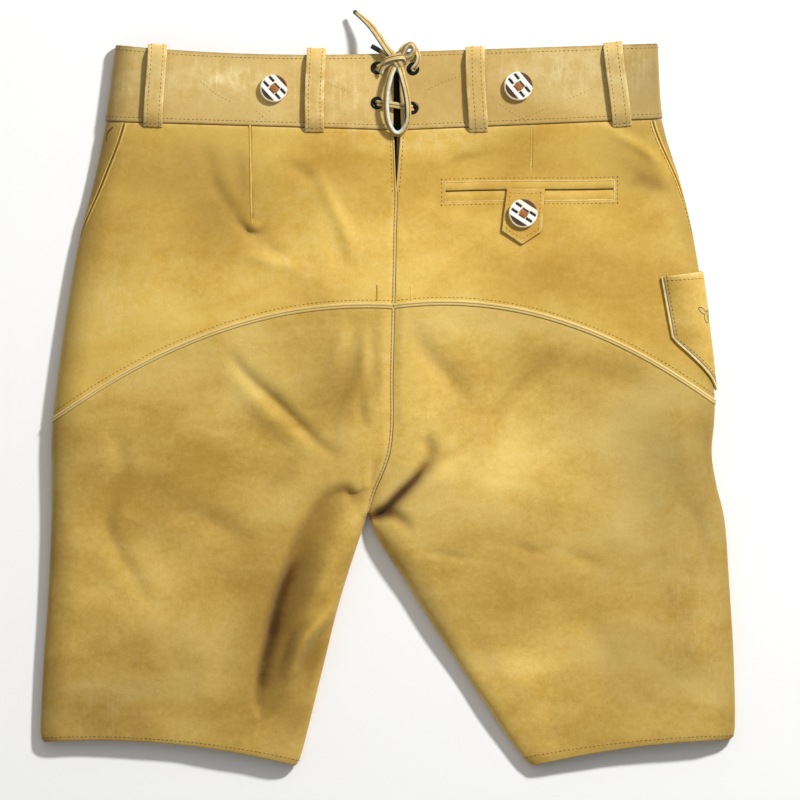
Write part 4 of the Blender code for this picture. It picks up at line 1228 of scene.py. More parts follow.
def painted_slit_shade(places: Array, tone: Array) -> Array:
    """Paints shade on the inside that shows through the slit.

    Args:
        places: Points of the piece.
        tone: Its painted colours.

    Returns:
        Painted colours of its inside.
    """
    across = ease((22.0 - np.abs(places[..., 0] - 8.0)) / 12.0)
    up = ease((places[..., 1] - 112.0) / 16.0) * ease((18.0 - places[..., 2]) / 6.0)
    dark = tone.copy()
    dark[..., 0] *= 1.0 - 0.9 * across * up
    return dark


class StitchTree(Wiring):
    """Geometry Nodes that lay stitches along rows."""

    def __init__(self) -> None:
        """Builds the tree."""
        super().__init__(bpy.data.node_groups.new("stitch_rows", "GeometryNodeTree"))
        self.tree.is_modifier = True
        sockets = (
            ("Rows", "INPUT", "Geometry"), ("Pitch", "INPUT", "Float"),
            ("Stitch Length", "INPUT", "Float"), ("Thread Width", "INPUT", "Float"),
            ("Unevenness", "INPUT", "Float"), ("Seed", "INPUT", "Int"),
            ("Thread", "INPUT", "Material"), ("Stitches", "OUTPUT", "Geometry"),
        )
        self.inputs = {
            name: self.tree.interface.new_socket(
                name=name, in_out=way, socket_type=f"NodeSocket{kind}").identifier
            for name, way, kind in sockets
        }
        put, group = self.put, self.put("NodeGroupInput", {}).node.outputs
        curves = put("GeometryNodeMeshToCurve", {0: group["Rows"]})
        feeds = {"Curve": curves, "Length": group["Pitch"]}
        spaced = put("GeometryNodeResampleCurve", feeds, mode="LENGTH")
        bead = put("GeometryNodeMeshUVSphere", {"Segments": 6, "Rings": 4, "Radius": 0.5}, "Mesh")
        width = group["Thread Width"]
        flat = self.maths("MULTIPLY", width, 0.8)
        size = put("ShaderNodeCombineXYZ", {"X": flat, "Y": width, "Z": group["Stitch Length"]})
        feeds = {"Geometry": bead, "Rotation": (0.0, math.pi / 2, 0.0), "Scale": size}
        shaped = put("GeometryNodeTransform", feeds)
        up = put("GeometryNodeInputNamedAttribute", {"Name": "up"}, data_type="FLOAT_VECTOR")
        along = put("FunctionNodeAlignRotationToVector",
                    {"Vector": put("GeometryNodeInputTangent", {})}, axis="X")
        upright = put("FunctionNodeAlignRotationToVector", {"Rotation": along, "Vector": up},
                      axis="Z", pivot_axis="X")
        least, most = (self.maths(how, 1.0, group["Unevenness"]) for how in ("SUBTRACT", "ADD"))
        uneven = put("FunctionNodeRandomValue", {2: least, 3: most, "Seed": group["Seed"]}, 1,
                     data_type="FLOAT")
        feeds = {"Points": spaced, "Instance": shaped, "Rotation": upright, "Scale": uneven}
        real = put("GeometryNodeRealizeInstances", {0: put("GeometryNodeInstanceOnPoints", feeds)})
        smooth = put("GeometryNodeSetShadeSmooth", {0: real})
        feeds = {"Geometry": smooth, "Material": group["Thread"]}
        dressed = put("GeometryNodeSetMaterial", feeds)
        self.feed(self.tree.nodes.new("NodeGroupOutput"), {0: dressed})

    def lay(self, name: str, rows: Sequence[Line], sizes: dict[str, Any]) -> Any:
        """Lays stitches and makes them one plain mesh.

        Args:
            name: Name of the piece.
            rows: Lines, with the direction away from the leather at each point.
            sizes: What the tree's inputs take.

        Returns:
            The piece.
        """
        mesh = bpy.data.meshes.new(name)
        starts = np.cumsum([0] + [len(line) for line, _ in rows])
        edges = [(k, k + 1) for a, b in zip(starts, starts[1:]) for k in range(a, b - 1)]
        points = np.concatenate([line for line, _ in rows]) * MM
        ups = np.concatenate([np.broadcast_to(up, np.shape(line)) for line, up in rows])
        mesh.from_pydata(points.tolist(), edges, [])
        layer = mesh.attributes.new("up", "FLOAT_VECTOR", "POINT")
        layer.data.foreach_set("vector", ups.astype(np.float32).ravel())
        obj = bpy.data.objects.new(name, mesh)
        bpy.context.scene.collection.objects.link(obj)
        modifier = obj.modifiers.new("stitches", "NODES")
        modifier.node_group = self.tree
        for key, value in sizes.items():
            modifier[self.inputs[key]] = value
        settle(obj)
        if "up" in obj.data.attributes:
            obj.data.attributes.remove(obj.data.attributes["up"])
        return obj


class Skin:
    """The middle of the back's wall, to lay pieces on."""

    def __init__(self) -> None:
        """Builds the two surfaces that it is read from."""
        rows, turns = np.linspace(0, LAST_ROW, 210), np.linspace(0, 3, 140)
        size = len(rows) * len(turns)
        points = [half.place(rows[:, None], turns).reshape(-1, 3) for half in HALVES]
        faces = [grid_quads(len(rows), len(turns), start, False) for start in (0, size)]
        self.tree = BVHTree.FromPolygons(
            np.concatenate(points).tolist(), np.concatenate(faces).tolist())

    def at(self, x: float, y: float) -> Line:
        """Gives the middle of the wall at a place.

        Args:
            x: Place across.
            y: Place up the garment.

        Returns:
            Point and upward normal, level with the nearest edge past the leather.
        """
        hit, normal, _, _ = self.tree.ray_cast((x, y, 100.0), DOWN)
        if hit is None:
            return np.array((x, y, self.tree.find_nearest((x, y, 20.0))[0].z)), np.array(UP)
        return np.array(hit), np.array(normal if normal.z > 0 else -normal)

    def lay(self, plan: Array, off: Number = 0.0) -> Line:
        """Lays places on the back.

        Args:
            plan: Places, two numbers each.
            off: Distance off the middle of the wall.

        Returns:
            Points and normals of the same shape.
        """
        found = np.array([self.at(x, y) for x, y in np.reshape(plan, (-1, 2))])
        found = found.reshape(*np.shape(plan)[:-1], 2, 3)
        points, normals = found[..., 0, :], found[..., 1, :]
        return points + normals * np.asarray(off)[..., None], normals


@dataclass
class Shop:
    """What every sub-assembly takes its finishes from, and how pieces are attached."""

    finishes: dict[str, Any]
    tree: StitchTree
    skin: Skin
    count: int = 0

    @classmethod
    def open(cls) -> "Shop":
        """Makes every finish, the stitch nodes and the skin."""
        return cls({kind.name: kind.make() for kind in FINISHES}, StitchTree(), Skin())

    def leather(self, name: str, edge: str = "pale_edge") -> list[Any]:
        """Gives the face, inside and edge materials of a leather piece."""
        return [self.finishes[kind] for kind in (name, "flesh_side", edge)]

    def place(self, obj: Any, slot: Slot, *nodes: str) -> Any:
        """Attaches a piece to its body, hides the solids that it replaces, and counts and logs it.

        Args:
            obj: The piece.
            slot: Its slot; not used.
            *nodes: Solids that it replaces.

        Returns:
            The piece.
        """
        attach(obj, ROOT)
        if nodes:
            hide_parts(*nodes)
        self.count += 1
        LOG.info("%s: %d faces", obj.name, len(obj.data.polygons))
        return obj

    def strip(
        self, name: str, line: Array, normals: Any, wide: Number, thick: Number,
        finish: str = "pale_edge", tone: Any = PLAIN_TONE, power: float = 2.0, sides: int = 10,
        slot: Slot = Slot.PALE,
    ) -> Any:
        obj = ribbon(name, line, normals, wide, thick, self.finishes[finish], power, sides, tone)
        return self.place(obj, slot)

    def stitch(
        self, name: str, rows: Sequence[Line], pitch: float = 3.3, length: float = 1.9,
        width: float = 0.5, seed: int = 1,
    ) -> Any:
        return self.place(self.tree.lay(name, rows, {
            "Pitch": pitch * MM, "Stitch Length": length * MM, "Thread Width": width * MM,
            "Unevenness": 0.12, "Seed": seed, "Thread": self.finishes["brown_thread"],
        }), Slot.PALE)

    def sheet(
        self, obj: Any, middles: Array, rests_on: Sequence[str], with_pieces: Sequence[Any] = ()
    ) -> None:
        """Logs the size and area of the cut that a sheet's grid unrolls to.

        Args:
            obj: The piece.
            middles: Its grid of middle points.
            rests_on: What it lies on; not used.
            with_pieces: Pieces sewn on it; not used.
        """
        over, down = runs(middles)
        wide, tall = float(over[:, -1].max()) * MM, float(down[-1].max()) * MM
        a, b = np.diff(middles, axis=0)[:, :-1], np.diff(middles, axis=1)[:-1, :]
        area = float(np.linalg.norm(np.cross(a, b), axis=-1).sum()) * MM * MM
        LOG.info("%s is cut %.3f x %.3f m, %.4f square metres", obj.name, wide, tall, area)
        list(rests_on)
        list(with_pieces)


# Quilted wrinkles of the band, as x and y in turn
QUILTING = {
    Side.LEFT: (
        (-145, 252, -134, 243, -123, 237), (-102, 221, -97, 225, -92, 229),
        (-102, 229, -97, 225, -92, 221), (-46, 251, -36, 247, -28, 244),
    ),
    Side.RIGHT: (
        (30, 245, 44, 252, 56, 256), (86, 236, 96, 229, 108, 222),
        (96, 220, 112, 226, 124, 231), (140, 238, 152, 243, 162, 248),
    ),
}
EYELETS = ((-7.8, 235.6), (19.8, 231.7), (-7.8, 262.9), (20.3, 262.1))


@dataclass(frozen=True)
class Panel:
    """A kind of panel: its solid, its finish, what it lies on, its rows and its inner turn."""

    name: str
    node: str
    finish: str
    slot: Slot
    rests: tuple[str, ...]
    first: float
    last: float
    inner: float = 2.992
    step: float = 2.0
    sink: float = 0.35
    worn: float = 0.2


@dataclass
class Panels:
    """Waistband, yokes, back legs and fronts of both halves.

    The cuts are the heights between which eyelet holes and windows are cut out.
    """

    kinds: tuple[Panel, ...] = (
        Panel("band_leather", "waistband", "band_leather", Slot.SMOOTH, ("front_{0}", "yoke_{0}"),
              WAIST_TOP, WAIST_SEAM, -2.995, sink=0.1, worn=0.15),
        Panel("yoke_leather", "yoke", "golden_leather", Slot.SMOOTH, ("front_{0}", "flap"),
              WAIST_SEAM + 0.004, ARCH - 0.002),
        Panel("back_leg_leather", "back_leg", "tan_suede", Slot.SUEDE, ("front_{0}",),
              ARCH + 0.002, LAST_ROW),
        Panel("front_leather", "front", "tan_suede", Slot.SUEDE, (),
              WAIST_SEAM + 0.004, LAST_ROW, -2.992, 3.2, 0.2),
    )
    hem_stitch: float = 7.2
    hem_row: float = 11.0
    soil: float = 0.26
    stitch_off: float = HIDE / 2 + 0.05
    eyelet_hole: float = 3.5
    band_cut: Place = (12.0, 27.0)
    yoke_cut: Place = (10.0, 32.0)
    front_cut: Place = (-4.0, 7.0)

    def make(self, shop: Shop) -> None:
        """Args:
            shop: The shop.
        """
        made = [(half, kind, *self.panel(shop, half, kind)) for half in HALVES
                for kind in self.kinds]
        sewn = {half.side: self.sew(shop, half) for half in HALVES}
        for half, kind, obj, middles in made:
            side = half.side.value
            shop.place(obj, kind.slot, f"{kind.node}_{side}")
            rests = [name.format(side) for name in kind.rests]
            shop.sheet(obj, middles, rests, sewn[half.side][kind.node])

    def panel(self, shop: Shop, half: Half, kind: Panel) -> tuple[Any, Array]:
        """Makes a panel of a half, with its holes.

        Args:
            shop: The shop.
            half: The half.
            kind: The kind of panel.

        Returns:
            The piece and its grid of middle points.
        """
        band, right = kind.node == "waistband", half.side is Side.RIGHT
        wall = BANDED if band else OVER_KNIFE if kind.node == "front" and right else PLAIN
        rows = half.rows_between(kind.first, kind.last, kind.step)
        start = -kind.inner if band else half.seam_turn(rows)
        turns = half.turns_between(rows, start, kind.inner, kind.step * (1.2 if band else 1.0))
        middles = half.place(rows[:, None], turns, wall)
        mid = (rows[len(rows) // 2], turns[len(rows) // 2, turns.shape[1] // 2])
        normals = grid_normals(middles, half.skin(*mid, 0.0, wall)[1])
        edges = along, over = border_distance(middles)
        bare = (np.arange(len(rows)) < len(rows) // 2) | (kind.last < LAST_ROW)
        dip = np.maximum(bell(along / 1.2), bell(over / 1.2) * bare[:, None])
        middles = middles - normals * (dip * kind.sink)[..., None]
        tone = paint(middles, kind.worn, edges, ease(turns / 0.4))
        if band:
            tone[..., 0] -= 0.16 * bell(over / 0.9)
            tone[..., 1] += 0.5 * bell(over / 0.9)
        # Painted shade over the rolled outer edges, and the leather darker toward the hem.
        foot = 0.12 * ease((rows - HEM_FOLD - 0.1) / 0.8)[:, None]
        soil = self.soil * ease(1.0 - np.abs(turns) / 1.3) + foot
        tone[..., 0] -= soil * 0.5
        tone[..., 1] += soil * 0.5
        turned = ease((rows - HEM_FOLD + 0.02) / 0.06)[:, None]
        # The inside gets painted shade where it shows through the slit.
        obj = shell(
            f"{kind.name}_{half.side.value}", middles, normals, wall.sheet,
            shop.leather(kind.finish), tone, 1.0, wall.sheet / 2 + turned * (HEM - wall.sheet),
            painted_slit_shade(middles, tone),
        )
        if band:
            for x, y in EYELETS:
                if (x > CENTRE_X) == right:
                    ring = np.linspace(0, 2 * math.pi, 28, endpoint=False)
                    hole = self.eyelet_hole * np.stack((np.cos(ring), np.sin(ring)), -1)
                    cut_out(obj, hole + (x, y), *self.band_cut)
        if kind.node == "yoke" and right:
            cut_out(obj, WeltPocket().window(), *self.yoke_cut)
        if kind.node == "front":
            cut_out(obj, DropFront().window(), *self.front_cut)
        return obj, middles

    def sew(self, shop: Shop, half: Half) -> dict[str, list[Any]]:
        """Sews the rows of a half.

        Args:
            shop: The shop.
            half: The half.

        Returns:
            Pieces by the panel that they belong to.
        """
        side, right, on = half.side.value, half.side is Side.RIGHT, self.stitch_off
        band = []
        for row in (0.055, 0.93):
            line, ups = half.skin(row, np.linspace(2.98, -2.98, 500), BAND / 2 + 0.05, BANDED)
            good = np.linalg.norm(np.diff(line, axis=0), axis=1) > 1e-4
            band.append((line[:-1][good], ups[:-1][good]))
        quilting = [shop.skin.lay(smooth_route(route, 2.0), BAND / 2 + 0.02)
                    for route in QUILTING[half.side]]
        slit = np.linspace(WAIST_SEAM + 0.05, HIP_HIGH - 0.02, 40)
        yoke = [half.skin(ARCH - 0.105, np.linspace(0.12, 2.97, 300), on),
                half.skin(slit, 2.87 if right else 2.86, on)]
        if right:
            rows = np.linspace(WAIST_SEAM + 0.05, HIP_MID - 0.1, 60)
            yoke.append(half.skin(rows, half.seam_turn(rows) + 0.1, on))
        foot = LAST_ROW - self.hem_stitch / self.hem_row
        leg = half.skin(foot, np.linspace(0.1, 2.9, 300), on)
        front = half.skin(foot, np.linspace(-0.6, -2.9, 200), HIDE / 2 + 0.02,
                          OVER_KNIFE if right else PLAIN)
        return {
            "waistband": [shop.stitch(f"band_stitches_{side}", band, seed=3),
                          shop.stitch(f"band_quilting_{side}", quilting, 2.7, 1.3, 0.36, 5)],
            "yoke": [shop.stitch(f"yoke_stitches_{side}", yoke, seed=7)],
            "back_leg": [shop.stitch(f"hem_stitches_{side}", [leg], seed=9)],
            "front": [shop.stitch(f"front_hem_stitches_{side}", [front], seed=11)],
        }


@dataclass
class Eyelets:
    """Four blackened eyelets beside the slit, by radius and height of the flange."""

    bore: float = 2.6
    barrel: float = 3.3
    flange: float = 5.0
    thick: float = 0.7

    def make(self, shop: Shop) -> None:
        """Makes the eyelets.

        Args:
            shop: The shop.
        """
        reach = BAND / 2 + 0.1
        lip = reach + self.thick
        profile = [
            (self.bore, -lip), (self.flange - 0.6, -lip), (self.flange - 0.3, -reach),
            (self.barrel, -reach), (self.barrel, reach), (self.flange - 0.1, reach),
            (self.flange, reach + 0.25), (self.flange - 0.5, lip - 0.1),
            (self.flange - 1.1, lip + 0.05), (self.bore + 0.7, lip), (self.bore + 0.2, lip - 0.3),
            (self.bore, lip - 0.8),
        ]
        for number, (x, y) in enumerate(EYELETS, 1):
            obj = lathe(f"black_eyelet_{number}", profile, shop.skin.at(x, y)[0],
                        shop.finishes["blackened_eyelet"], 36, True)
            shop.place(obj, Slot.METAL, f"eyelet_{number}")


@dataclass(frozen=True)
class HornButton:
    """A carved horn button: its solid, its place, the turn of its bars and its sizes."""

    node: str
    x: float
    y: float
    turn: float
    stem: float = 1.6
    wide: float = 22.6
    thick: float = 4.0

    def carve(self, x: Array, y: Array, z: Array) -> Line:
        """Carves the face: three bars, grooves between them and a square eye.

        Args:
            x: Places across the button.
            y: Places up it.
            z: Heights.

        Returns:
            Carved heights, and colours: black, brown and cream shares.
        """
        turn, out = math.radians(self.turn), np.hypot(x, y)
        along = x * math.cos(turn) + y * math.sin(turn)
        over = -x * math.sin(turn) + y * math.cos(turn)
        on = ((z > self.stem + self.thick - 1.3) & (out < self.wide / 2 - 0.55)).astype(float)
        beside = np.abs(np.abs(over - 0.85) - 2.85) - 1.05
        groove = soft(np.maximum.reduce((beside, 3.9 - np.abs(along), np.abs(along) - 9.3)))
        eye_x, eye_y = np.abs(along - 0.4), np.abs(over - 0.35)
        wood = soft(np.hypot(np.maximum(eye_x - 1.5, 0.0), np.maximum(eye_y - 0.9, 0.0)) - 2.0)
        # The rim is a groove along two sides of the eye, painted black as the shadow of the eye's
        # wall.
        rim = soft(np.maximum(np.abs(eye_y - 3.1) - 0.5, eye_x - 2.8))
        upper, lower = soft(7.9 - over), soft(6.3 + over)
        crescent = soft(self.wide / 2 - 1.3 - out) * lower
        bare = lower * (1.0 - crescent)
        ground = np.maximum(upper, bare)
        depth = np.maximum.reduce((groove * 1.2, wood * 0.8, rim * 1.1, ground * 0.8))
        black = np.maximum.reduce((groove, rim, upper * 0.7, bare * 0.86))
        edge = (z > self.stem + 1.2) * upper * 0.9
        rounded = 0.25 * bell((np.abs(over) - 2.75) / 0.9)
        tone = np.stack((
            np.maximum(black * on, edge * 0.6), np.maximum(np.maximum(wood, ground) * on, edge),
            crescent * on,
        ), -1)
        return z - (depth + rounded) * on, tone

    def make(self, shop: Shop, foot: float, under: bool = False) -> Any:
        """Makes the button.

        Args:
            shop: The shop.
            foot: Height of the foot of its stem, or of its face where that looks down.
            under: Whether its face looks down.

        Returns:
            The piece.
        """
        radius, stem, top = self.wide / 2, self.stem, self.stem + self.thick
        profile = [
            (0.0, 0.0), (2.2, 0.0), (2.4, 0.3), (2.2, stem - 0.2), (2.6, stem),
            (radius - 2.4, stem), (radius - 1.2, stem + 0.35), (radius - 0.35, stem + 1.0),
            (radius, stem + 1.7), (radius, stem + 2.5), (radius - 0.25, stem + 3.2),
            (radius - 0.7, top - 0.35), (radius - 1.2, top - 0.12),
        ]
        profile += [(r, top - 0.1 - 0.35 * (1.0 - (r / radius) ** 2))
                    for r in np.linspace(radius - 1.5, 0.0, 30)]
        obj = lathe(f"horn_{self.node}", profile, (self.x, self.y, foot),
                    shop.finishes["carved_horn"], 96, carve=self.carve)
        if under:
            for vertex in obj.data.vertices:
                vertex.co.z = (2 * foot + top) * MM - vertex.co.z
            obj.data.flip_normals()
            obj.data.update()
        return shop.place(obj, Slot.HORN, self.node)


@dataclass
class BandButtons:
    """The two braces' buttons on the band."""

    buttons: tuple[HornButton, ...] = (
        HornButton("button_left", -88.5, 246.9, -47.0, 0.9, 21.6),
        HornButton("button_right", 102.4, 248.7, -50.0, 0.9),
    )

    def make(self, shop: Shop) -> None:
        """Makes the buttons on the band's face."""
        for button in self.buttons:
            button.make(shop, float(shop.skin.at(button.x, button.y)[0][2]) + BAND / 2 + 0.1)


@dataclass(frozen=True)
class LoopPlace:
    """Where a belt loop is sewn, and how far its two stitch rows lie from its middle."""

    top: Place
    foot: Place
    rows: Place


@dataclass
class BeltLoops:
    """Belt loops that arch over the waistband, from left to right."""

    places: tuple[LoopPlace, ...] = (
        LoopPlace((-179.4, 281.6), (-182.5, 216.9), (-5.0, 5.1)),
        LoopPlace((-55.4, 278.6), (-56.9, 212.9), (-4.2, 4.9)),
        LoopPlace((68.6, 279.8), (71.0, 212.9), (-1.8, 4.7)),
        LoopPlace((176.3, 283.2), (183.3, 216.9), (-4.4, 3.4)),
    )
    wide: float = 15.0
    thick: float = 2.0
    rise: float = 3.2
    cross_row: float = 0.945

    def make(self, shop: Shop) -> None:
        """Makes the loops with their stitches."""
        for number, place in enumerate(self.places, 1):
            self.loop(shop, number, place)

    def off(self, share: Array) -> Array:
        """Gives the height of a loop's middle off the band's, at shares of its length."""
        arch = self.rise * ease(share / 0.17) * ease((1.0 - share) / 0.2)
        return BAND / 2 + LAY_GAP + self.thick / 2 + arch - 1.5 * (
            bell(share / 0.03) + bell((1.0 - share) / 0.03))

    def loop(self, shop: Shop, number: int, place: LoopPlace) -> None:
        """Makes one loop.

        Args:
            shop: The shop.
            number: Its number.
            place: Where it is sewn.
        """
        top, way = np.array(place.top), np.array(place.foot) - place.top
        length = float(np.hypot(*way))
        side = np.array((-way[1], way[0])) / length
        shares = even_with_edges(length, 1.3)
        across = even_with_edges(self.wide, 1.2) - 0.5
        shift = 0.5 * np.sin(shares * 5.0 + number)
        plan = (top + way * shares[:, None])[:, None] + side * (
            across[:, None] * self.wide + shift[:, None, None])
        height = shop.skin.lay(plan[:, len(across) // 2])[0][:, 2] + self.off(shares)
        height = height - 0.25 * np.cos(shares * 9.0 + number)
        z = height[:, None] + 0.35 * np.cos(across * math.pi)
        middles = np.concatenate((plan, z[..., None]), -1)
        normals = grid_normals(middles)
        tone = paint(middles, 0.45)
        # Painted shade across the loop where its foot folds under; the rest a little lighter.
        tone[..., 0] += 0.02 - 0.05 * bell((shares[:, None] - 0.93) / 0.03)
        name = f"belt_loop_{number}"
        obj = shell(f"strap_{name}", middles, normals, self.thick, shop.leather("band_leather"),
                    tone, 1.2)
        shop.place(obj, Slot.SMOOTH, name)
        on = middles + normals * (self.thick / 2 + 0.03)
        columns = [int(np.argmin(np.abs(across * self.wide - at))) for at in place.rows]
        rows = [(on[3:-3, k], normals[3:-3, k]) for k in columns]
        k = int(np.argmin(np.abs(shares - self.cross_row)))
        rows.append((on[k, 4:-4], normals[k, 4:-4]))
        sewn = shop.stitch(f"stitches_{name}", rows, seed=20 + number)
        shop.sheet(obj, middles, ["waistband_left" if number < 3 else "waistband_right"], [sewn])


@dataclass
class ArchWelts:
    """The welt in the arched seam between yoke and leg: two fine ridges."""

    wide: float = 4.5
    thick: float = 0.78
    ridge: float = 0.42
    count: int = 260

    def make(self, shop: Shop) -> None:
        """Makes the welt of both halves.

        Args:
            shop: The shop.
        """
        across = np.linspace(-0.5, 0.5, 17)
        ridges = self.ridge * (bell((across - 0.21) / 0.11) + bell((across + 0.21) / 0.11))
        off = HIDE / 2 + 0.1 + ridges - 0.5 * (np.abs(across) * 2) ** 6
        # Painted shade in the groove between the ridges and a painted shadow line along the lower
        # edge.
        dark = (bell(across / 0.06) + 0.9 * bell((across - 0.47) / 0.06))[:, None]
        for half in HALVES:
            turns = np.linspace(0.05, 2.985, self.count)
            places, normals = half.skin(ARCH, turns)
            down = unit(half.skin(ARCH + 0.05, turns)[0] - places)
            middles = (places + down * (across * self.wide)[:, None, None]
                       + normals * off[:, None, None])
            tone = np.zeros(middles.shape)
            tone[..., 0] = 0.49 - 0.3 * dark
            tone[..., 1] = 0.05 + 0.6 * dark
            side = half.side.value
            obj = shell(
                f"arch_welt_{side}", middles, grid_normals(middles, normals[self.count // 2]),
                self.thick, shop.leather("pale_edge"), tone, 0.5,
            )
            shop.place(obj, Slot.PALE, f"yoke_welt_{side}")


# Small marks: name, route as x and y in turn, width and painted colour
MARKS = (
    # The first mark is a painted shadow under the bulging edge of the front pocket's mouth.
    ("front_pocket_mouth", (-218.6, 206, -217.4, 212, -213.6, 216.5), 1.3, (0.16, 0.9, 0.0)),
    ("bar_tack_light", (18.7, 93.5, 18.7, 88, 18.7, 81.5), 1.2, (0.56, 0.0, 0.3)),
    ("bar_tack_dark", (-7.8, 93.5, -7.8, 88, -7.8, 81.5), 1.2, (0.4, 0.4, 0.0)),
)
# Lines along a side seam: name, shift from it, width and painted colour
SIDE_LINES = (
    ("side_seam", 0.0, 0.9, (0.2, 0.9, 0.0)), ("side_strip_back", 1.4, 1.3, (0.52, 0.0, 0.1)),
    ("side_strip_front", -1.5, 1.6, (0.52, 0.0, 0.1)),
)


@dataclass
class Ridges:
    """Sewn ridges of the back: darts, centre seam, slit edges and side seams."""

    dart_wide: float = 1.7
    seam_wide: float = 2.4
    slit_foot: float = HIP_HIGH + 0.02

    def make(self, shop: Shop) -> None:
        """Makes the ridges.

        Args:
            shop: The shop.
        """
        left = (-106.9, 218, -106.4, 190, -105.9, 160, -105.3, 141)
        self.dart(shop, "dart_left", left, 1.3)
        self.dart(shop, "dart_right", (112.8, 217, 112.6, 200, 112.0, 180.5), 0.7)
        self.seam(shop, "centre_seam_upper", Slot.SMOOTH, HIP_HIGH, ARCH - 0.03)
        self.seam(shop, "centre_seam_lower", Slot.SUEDE, ARCH + 0.03, CROTCH - 0.02)
        for half in HALVES:
            rows = np.linspace(WAIST_SEAM + 0.02, self.slit_foot, 40)
            shop.strip(f"slit_edge_{half.side.value}", *half.skin(rows, 2.985, 0.35), 1.3, 2.1,
                       tone=(0.45, 0.1, 0.1), power=2.4, sides=12)
            self.side_seam(shop, half)
        for name, route, wide, tone in MARKS:
            line, normals = shop.skin.lay(smooth_route(route, 1.6), HIDE / 2)
            shop.strip(name, line, normals, wide, 0.5, "golden_leather", tone)
        inside = np.linspace((9.4, 214.0, 12.5), (8.6, 176.0, 12.0), 20)
        shop.strip("slit_facing", inside, UP, 3.4, 1.4, tone=(0.33, 0.2, 0.1), power=3.0)

    def side_seam(self, shop: Shop, half: Half) -> None:
        """Makes the dark line of the side seam and the pale strips along it.

        Args:
            shop: The shop.
            half: The half whose seam it is.
        """
        rows = np.linspace(WAIST_SEAM + 0.03, 2.7 if half.side is Side.LEFT else 2.2, 60)
        places, normals = half.skin(rows, half.seam_turn(rows), HIDE / 2 - 0.05)
        across = unit(np.cross(unit(np.gradient(places, axis=0)), normals)) * half.facing
        for name, shift, wide, tone in SIDE_LINES:
            shop.strip(f"{name}_{half.side.value}", places + across * shift, normals, wide, 0.6,
                       "golden_leather", tone)

    def dart(self, shop: Shop, name: str, route: Sequence[float], tall: float) -> None:
        """Makes a dart: a narrow fold that ends in a point.

        Args:
            shop: The shop.
            name: Name of the piece.
            route: Its places from the band down, as x and y in turn.
            tall: Its height.
        """
        line, normals = shop.skin.lay(smooth_route(route, 1.6), HIDE / 2)
        size = np.minimum(1.0, 0.45 + np.linspace(4.0, 0.0, len(line)))
        wide = self.dart_wide * size * (0.7 + 0.3 * tall)
        shop.strip(name, line, normals, wide, tall * size, "golden_leather", (0.52, 0.05, 0.3),
                   sides=12, slot=Slot.SMOOTH)
        dark = line + (1.0, 0.0, 0.0) + normals * 0.02
        shop.strip(f"{name}_fold", dark[:-3], normals[:-3], 0.5 * tall, 0.3, "brown_thread",
                   sides=12)

    def seam(self, shop: Shop, name: str, slot: Slot, first: float, last: float) -> None:
        """Makes a felled seam over the back's centre, with its stitches.

        Args:
            shop: The shop.
            name: Name of the piece.
            slot: Its slot.
            first: Row at its top.
            last: Row at its foot.
        """
        rows = np.linspace(first, last, 90)
        (left, left_up), (right, right_up) = (half.skin(rows, 2.97, 0.15) for half in HALVES)
        line, normals = (left + right) / 2, unit(left_up + right_up)
        shop.strip(name, line, normals, self.seam_wide, 2.2, tone=(0.46, 0.06, 0.1), power=2.4,
                   sides=12, slot=slot)
        beside = line + normals * 1.1 - (0.5, 0.0, 0.0)
        shop.stitch(f"{name}_stitches", [(beside, normals)], 3.2, 1.3, 0.3, 15)
        fold = line + normals * 0.75 + (1.25, 0.0, 0.0)
        shop.strip(f"{name}_fold", fold, normals, 0.7, 0.5, "golden_leather", (0.3, 0.8, 0.0),
                   sides=8, slot=slot)


